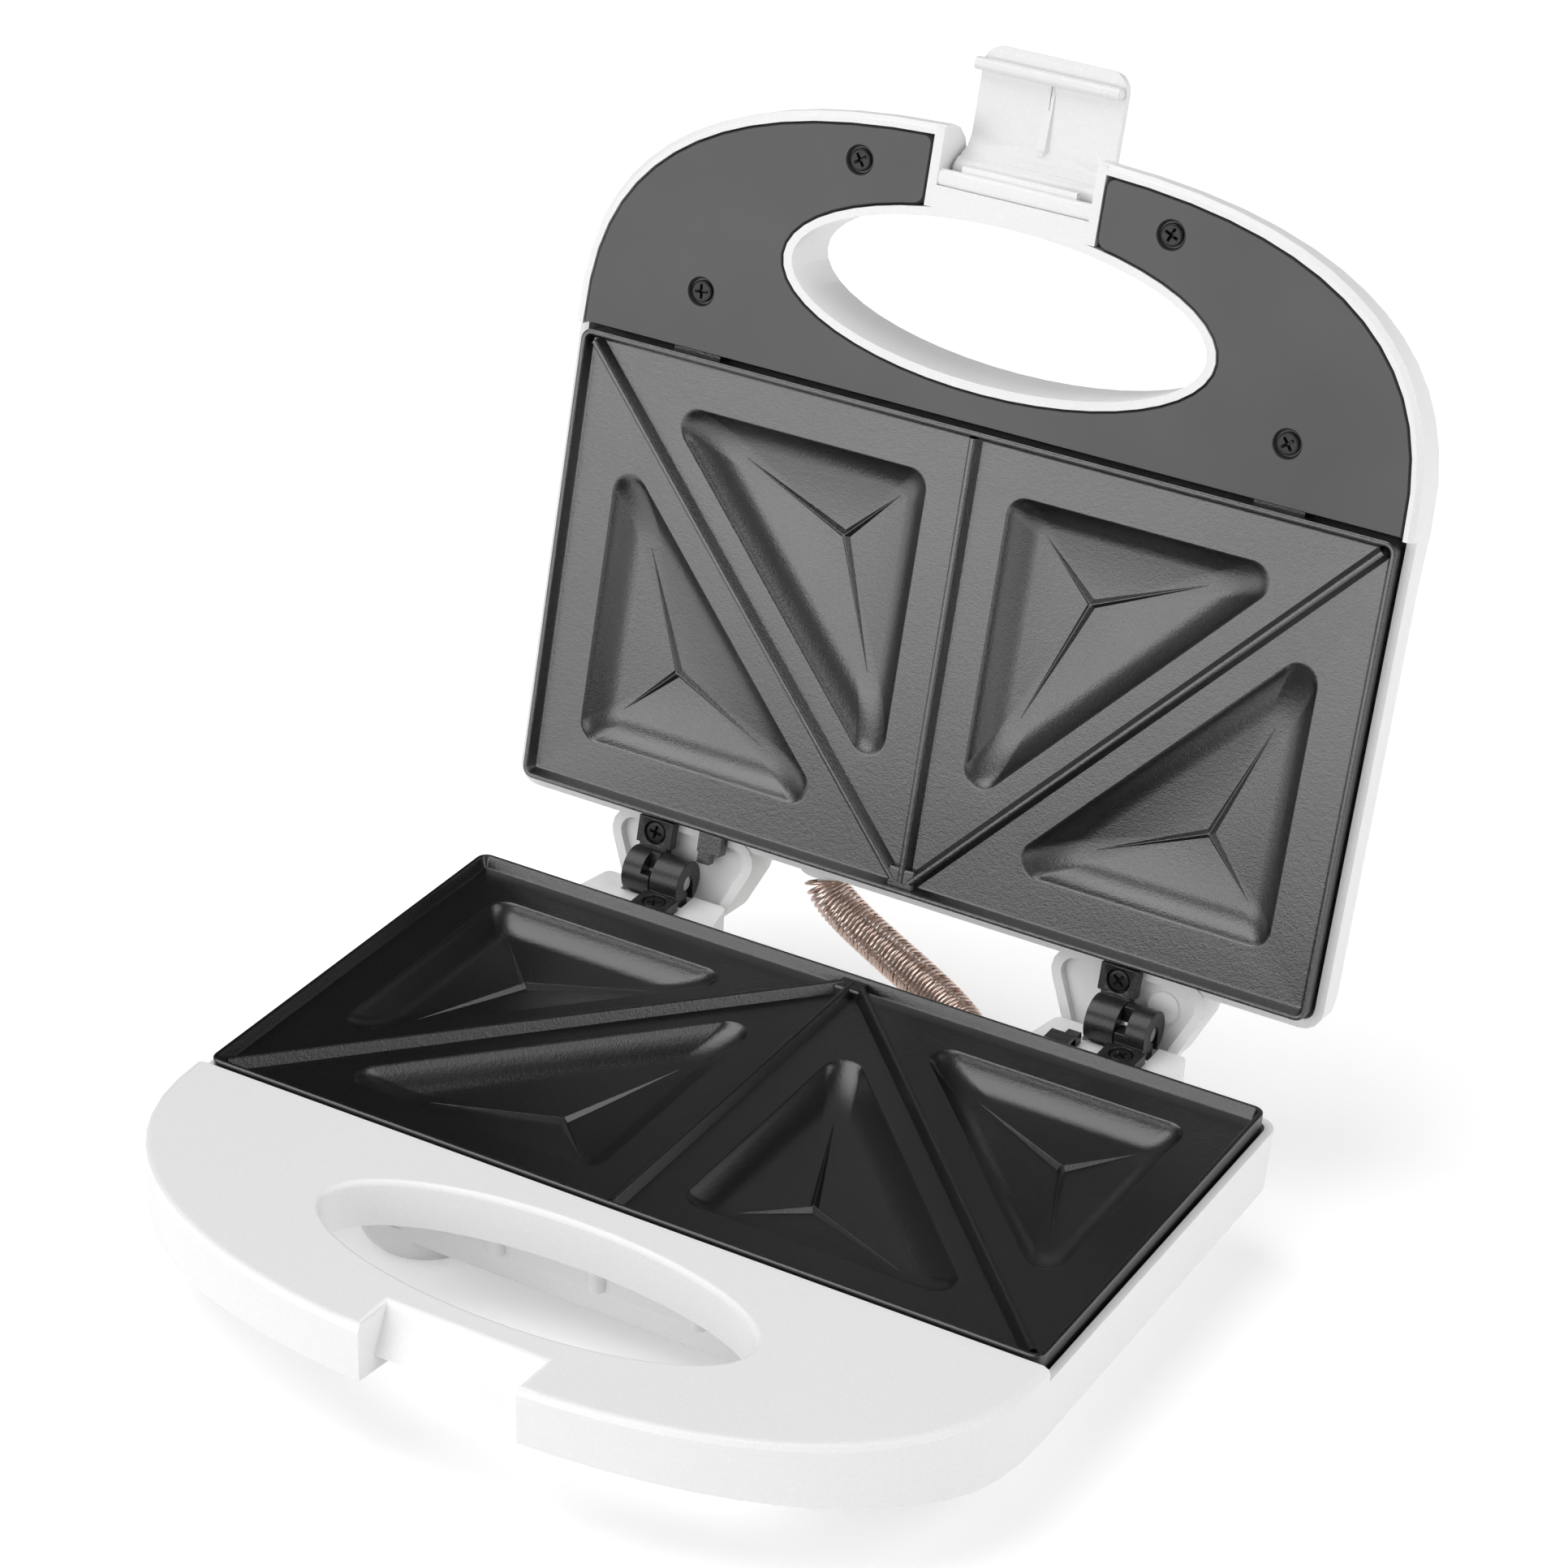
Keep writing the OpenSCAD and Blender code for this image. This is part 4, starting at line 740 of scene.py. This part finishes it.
# ---------- base housing ----------
def base_housing():
    """The base's moulding with its handle's upper edges rounded over."""
    bm = carried_mesh("base_shell", Matrix.Identity(4), 1e-6)
    top = (STAND - HANDLE_TOP)*MM
    front = -(MIDDLE_Y + 1)*MM
    edges = [e for e in bm.edges
             if all(abs(v.co.z - top) < 2e-5 and v.co.y < front for v in e.verts)
             and len(e.link_faces) == 2 and e.calc_face_angle_signed(0) > math.radians(40)]
    round_over(bm, edges, HANDLE_ROUND*MM, 4)
    piece = piece_from(bm, "base_housing", WHITE, "base",
                       Matrix.Identity(4), PART_CRISP)
    soften(piece, SHELL_SOFT, MOULDING_CRISP)
    piece.modifiers.move(piece.modifiers.find("soften"), 0)
    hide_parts("base_shell")


base_housing()


# ---------- cover of the lid's handle ----------
def cover_panel():
    """The dark cover with a groove round it and rounded corners beside the latch."""
    bm = carried_mesh("handle_cover", lid_place().inverted(), 0.001)
    tips = [v for v in bm.verts
            if abs(v.co.x) < COVER_GAP + 0.2 and abs(v.co.y - COVER_TIP_Y) < 0.5]
    for v in tips:
        v.co.x = math.copysign(COVER_GAP, v.co.x)
    bmesh.ops.remove_doubles(bm, verts=tips, dist=0.05)
    corners = [e for e in bm.edges if len(e.link_faces) == 2
               and (e.verts[0].co - e.verts[1].co).to_2d().length < 0.01
               and abs(e.verts[0].co.x) < 30 and e.calc_face_angle(0) > math.radians(45)]
    round_over(bm, corners, COVER_CORNER_R, 6)
    front = {f for f in bm.faces
             if f.normal.z < -0.99 and f.calc_center_median().z < COVER_Z + 0.1}
    rim = [e for e in bm.edges if len(front.intersection(e.link_faces)) == 1]
    round_over(bm, rim, COVER_GROOVE, 1)
    for v in bm.verts:
        if abs(v.co.z - COVER_Z - COVER_GROOVE) < 0.02:
            v.co.z += COVER_GROOVE_DEPTH
    piece = piece_from(bm, "cover_panel", COVER, "lid", lid_place())
    soften(piece, COVER_SOFT, MOULDING_CRISP)
    piece.modifiers.move(piece.modifiers.find("soften"), 0)
    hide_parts("handle_cover")


cover_panel()


# ---------- bar in the lid's notch, and the clip's bead and rib ----------
def latch_details():
    """The bar that the clip leans on, and the round-ended bead and thinning rib inside it."""
    bm = bmesh.new()
    made = box(bm, *REST_BAR)
    long_edges = list({e for v in made for e in v.link_edges
                       if abs(e.verts[0].co.x - e.verts[1].co.x) > 30})
    round_over(bm, long_edges, REST_BAR_R, 5)
    piece_from(bm, "latch_rest_bar", WHITE, "lid", lid_place())

    bm = bmesh.new()
    bead = bmesh.ops.create_uvsphere(
        bm, u_segments=24, v_segments=16, radius=BEAD_R)["verts"]
    bmesh.ops.rotate(bm, matrix=Matrix.Rotation(math.pi/2, 3, "Y"), verts=bead)
    for v in bead:
        v.co.x = (BEAD_RIGHT if v.co.x < 0 else -BEAD_LEFT) - v.co.x
        v.co.y += BEAD_Y
        v.co.z = BEAD_Z - v.co.z
    profile_bar(bm, RIB_PROFILE, Vector(RIB_START), Vector(RIB_END), RIB_ROUND, RIB_TIP)
    inside = (lid_place() @ Matrix.Translation(CLIP_PLACE)
              @ Matrix.Rotation(math.pi, 4, "Y"))
    piece_from(bm, "clip_bead_and_rib", CLIP, CLIP_BODY, inside, 50)


latch_details()


# ---------- floors of the lid's hinge pods ----------
def pod_floors():
    """The pods' white floors behind the hinges, each with its round core plug."""
    bm = bmesh.new()
    for side in (-1, 1):
        corners = [Vector((side*x, y)) for x, y in POD_CORNERS]
        if side < 0:
            corners.reverse()
        levels = [ring(bm, rounded(corners, 0, POD_CORNER_R, 6), z)
                  for z in (POD_FLOOR_Z + POD_FLOOR_T, POD_FLOOR_Z)]
        skin(bm, levels)
        for level in levels:
            bmesh.ops.contextual_create(bm, geom=level)
        plug = rod(bm, (side*PLUG_X, PLUG_Y, POD_FLOOR_Z - PLUG_RISE), PLUG_R, PLUG_H, 40)
        top = [e for v in plug for e in v.link_edges
               if max(w.co.z for w in e.verts) < POD_FLOOR_Z - 0.6]
        round_over(bm, list(set(top)), PLUG_ROUND, 3)
    piece_from(bm, "lid_pod_floors", WHITE, "lid", lid_place())


pod_floors()


# ---------- wire guard ----------
def guard_line():
    """The guard's two ends, their outward directions, and a function that gives the place
    and direction of its middle line at a share of its length."""
    start = base_place() @ Vector(GUARD_BASE)
    end = lid_place() @ Vector(GUARD_LID)
    out = Vector((0, 1, 0))
    lid_out = (lid_place().to_3x3() @ Vector((0, 1, 0))).normalized()
    start += out*GUARD_SEAT*MM
    end += lid_out*GUARD_SEAT*MM
    points = geometry.interpolate_bezier(
        start, start + out*GUARD_BASE_REACH*MM, end + lid_out*GUARD_LID_REACH*MM, end,
        GUARD_STEPS)
    travelled = [0.0]
    for before, after in zip(points, points[1:]):
        travelled.append(travelled[-1] + (after - before).length)

    def at(share):
        goal = share*travelled[-1]
        i = min(max(bisect.bisect_left(travelled, goal), 1), len(points) - 1)
        part = (goal - travelled[i - 1])/(travelled[i] - travelled[i - 1])
        return points[i - 1].lerp(points[i], part), (points[i] - points[i - 1]).normalized()
    return start, end, out, lid_out, at


def wire(name, path, radius, sides, material, node):
    """A round wire along a path, made a mesh."""
    line = bpy.data.curves.new(name, "CURVE")
    line.dimensions = "3D"
    line.bevel_depth = radius
    line.bevel_resolution = sides
    line.use_fill_caps = True
    spline = line.splines.new("POLY")
    spline.points.add(len(path) - 1)
    spline.points.foreach_set("co", [c for p in path for c in (*p, 1)])
    drawn = bpy.data.objects.new(name + "_line", line)
    bpy.context.scene.collection.objects.link(drawn)
    bpy.context.view_layer.update()
    bm = bmesh.new()
    bm.from_mesh(drawn.to_mesh())
    drawn.to_mesh_clear()
    bpy.data.objects.remove(drawn)
    piece = piece_from(bm, name, material, None, Matrix.Identity(4), 60)
    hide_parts(node)
    return piece


def wire_guard():
    """The close-wound guard and the sleeve inside it, from the base's wall to the lid's."""
    start, end, out, lid_out, at = guard_line()
    across_line = Vector((0.5, 0.6, -0.6))
    steps = GUARD_CURLS*CURL_STEPS
    coil = []
    for i in range(steps + 1):
        spot, along = at(i/steps)
        side = along.cross(across_line).normalized()
        angle = 2*math.pi*i/CURL_STEPS
        coil.append(spot + (side*math.cos(angle) + along.cross(side)*math.sin(angle))
                    * (GUARD_R - GUARD_WIRE)*MM)
    spring = wire("wire_guard", coil, GUARD_WIRE*MM, 1, COPPER, "guard_spring")
    tail = SLEEVE_TAIL*MM
    middle = [at(i/SLEEVE_STEPS)[0] for i in range(SLEEVE_STEPS + 1)]
    sleeve = wire("fibre_sleeve", [start - out*tail] + middle + [end - lid_out*tail],
                  SLEEVE_R*MM, 3, FIBRE, "guard_sleeve")
    for piece in (spring, sleeve):
        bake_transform(piece)


wire_guard()


# ---------- floor, light and camera ----------
def backdrop():
    """A plain pale floor, seen near white by the eye and in gloss, its shadows kept."""
    bm = bmesh.new()
    bmesh.ops.create_grid(bm, x_segments=1, y_segments=1, size=FLOOR_SIZE)
    mesh = bpy.data.meshes.new("floor")
    bm.to_mesh(mesh)
    bm.free()
    floor = bpy.data.objects.new("floor", mesh)
    bpy.context.scene.collection.objects.link(floor)
    material = bpy.data.materials.new("pale_floor")
    material.use_nodes = True
    nodes, links = material.node_tree.nodes, material.node_tree.links
    shader = nodes["Principled BSDF"]
    shader.inputs["Base Color"].default_value = (0.88, 0.88, 0.88, 1)
    shader.inputs["Roughness"].default_value = 0.9
    shader.inputs["Specular IOR Level"].default_value = 0.1
    shader.inputs["Emission Color"].default_value = (1, 1, 1, 1)
    path = nodes.new("ShaderNodeLightPath")
    seen = path.outputs["Is Camera Ray"]
    for ray in ("Is Glossy Ray", "Is Transmission Ray"):
        either = nodes.new("ShaderNodeMath")
        either.operation = "MAXIMUM"
        links.new(seen, either.inputs[0])
        links.new(path.outputs[ray], either.inputs[1])
        seen = either.outputs[0]
    level = nodes.new("ShaderNodeMath")
    level.operation = "MULTIPLY"
    level.inputs[1].default_value = FLOOR_GLOW
    links.new(seen, level.inputs[0])
    links.new(level.outputs[0], shader.inputs["Emission Strength"])
    mesh.materials.append(material)


def surroundings():
    """A pale room round the table, lighter in front of the part than behind it."""
    world = bpy.data.worlds.new("pale_room")
    bpy.context.scene.world = world
    world.use_nodes = True
    nodes, links = world.node_tree.nodes, world.node_tree.links
    background = nodes["Background"]
    background.inputs["Color"].default_value = (1, 1, 1, 1)
    toward = nodes.new("ShaderNodeTexCoord")
    parts = nodes.new("ShaderNodeSeparateXYZ")
    level = nodes.new("ShaderNodeMapRange")
    level.inputs["From Min"].default_value = -0.8
    level.inputs["From Max"].default_value = 0.6
    level.inputs["To Min"].default_value = ROOM_FRONT
    level.inputs["To Max"].default_value = ROOM_BACK
    links.new(toward.outputs["Generated"], parts.inputs["Vector"])
    links.new(parts.outputs["Y"], level.inputs["Value"])
    links.new(level.outputs["Result"], background.inputs["Strength"])


def broad_light(name, toward, strength, spread):
    """A broad even light from one side of the room, given by the direction to it."""
    data = bpy.data.lights.new(name, "SUN")
    data.energy = strength
    data.angle = math.radians(spread)
    lamp = bpy.data.objects.new(name, data)
    bpy.context.scene.collection.objects.link(lamp)
    lamp.rotation_mode = "QUATERNION"
    lamp.rotation_quaternion = Vector(toward).to_track_quat("Z", "Y")


def softbox(name, place, target, size, power):
    """A rectangular area lamp that looks at target."""
    data = bpy.data.lights.new(name, "AREA")
    data.shape = "RECTANGLE"
    data.size, data.size_y = size
    data.energy = power
    lamp = bpy.data.objects.new(name, data)
    bpy.context.scene.collection.objects.link(lamp)
    lamp.location = place
    lamp.visible_camera = False
    lamp.rotation_mode = "QUATERNION"
    lamp.rotation_quaternion = (Vector(place) - Vector(target)).to_track_quat("Z", "Y")


def camera():
    """The photograph's viewpoint: a long lens from the front right, a little rolled."""
    azimuth, elevation, roll = (math.radians(a) for a in (AZIMUTH, ELEVATION, ROLL))
    back = Vector((math.sin(azimuth)*math.cos(elevation),
                   -math.cos(azimuth)*math.cos(elevation), math.sin(elevation)))
    right = Vector((math.cos(azimuth), math.sin(azimuth), 0))
    up = back.cross(right)
    side = right*math.cos(roll) + up*math.sin(roll)
    top = up*math.cos(roll) - right*math.sin(roll)
    data = bpy.data.cameras.new("camera")
    data.sensor_width = SENSOR
    data.lens = LENS
    data.dof.use_dof = False
    data.clip_start, data.clip_end = 0.05, 20
    viewer = bpy.data.objects.new("camera", data)
    bpy.context.scene.collection.objects.link(viewer)
    viewer.matrix_world = Matrix.Translation(CAMERA_PLACE) @ Matrix(
        (side, top, back)).transposed().to_4x4()
    bpy.context.scene.camera = viewer


backdrop()
surroundings()
for light in BROAD_LIGHTS:
    broad_light(*light)
softbox("front", SOFTBOX_PLACE, SOFTBOX_TARGET, SOFTBOX_SIZE, SOFTBOX_POWER)
camera()
bpy.context.scene.view_settings.view_transform = "Standard"
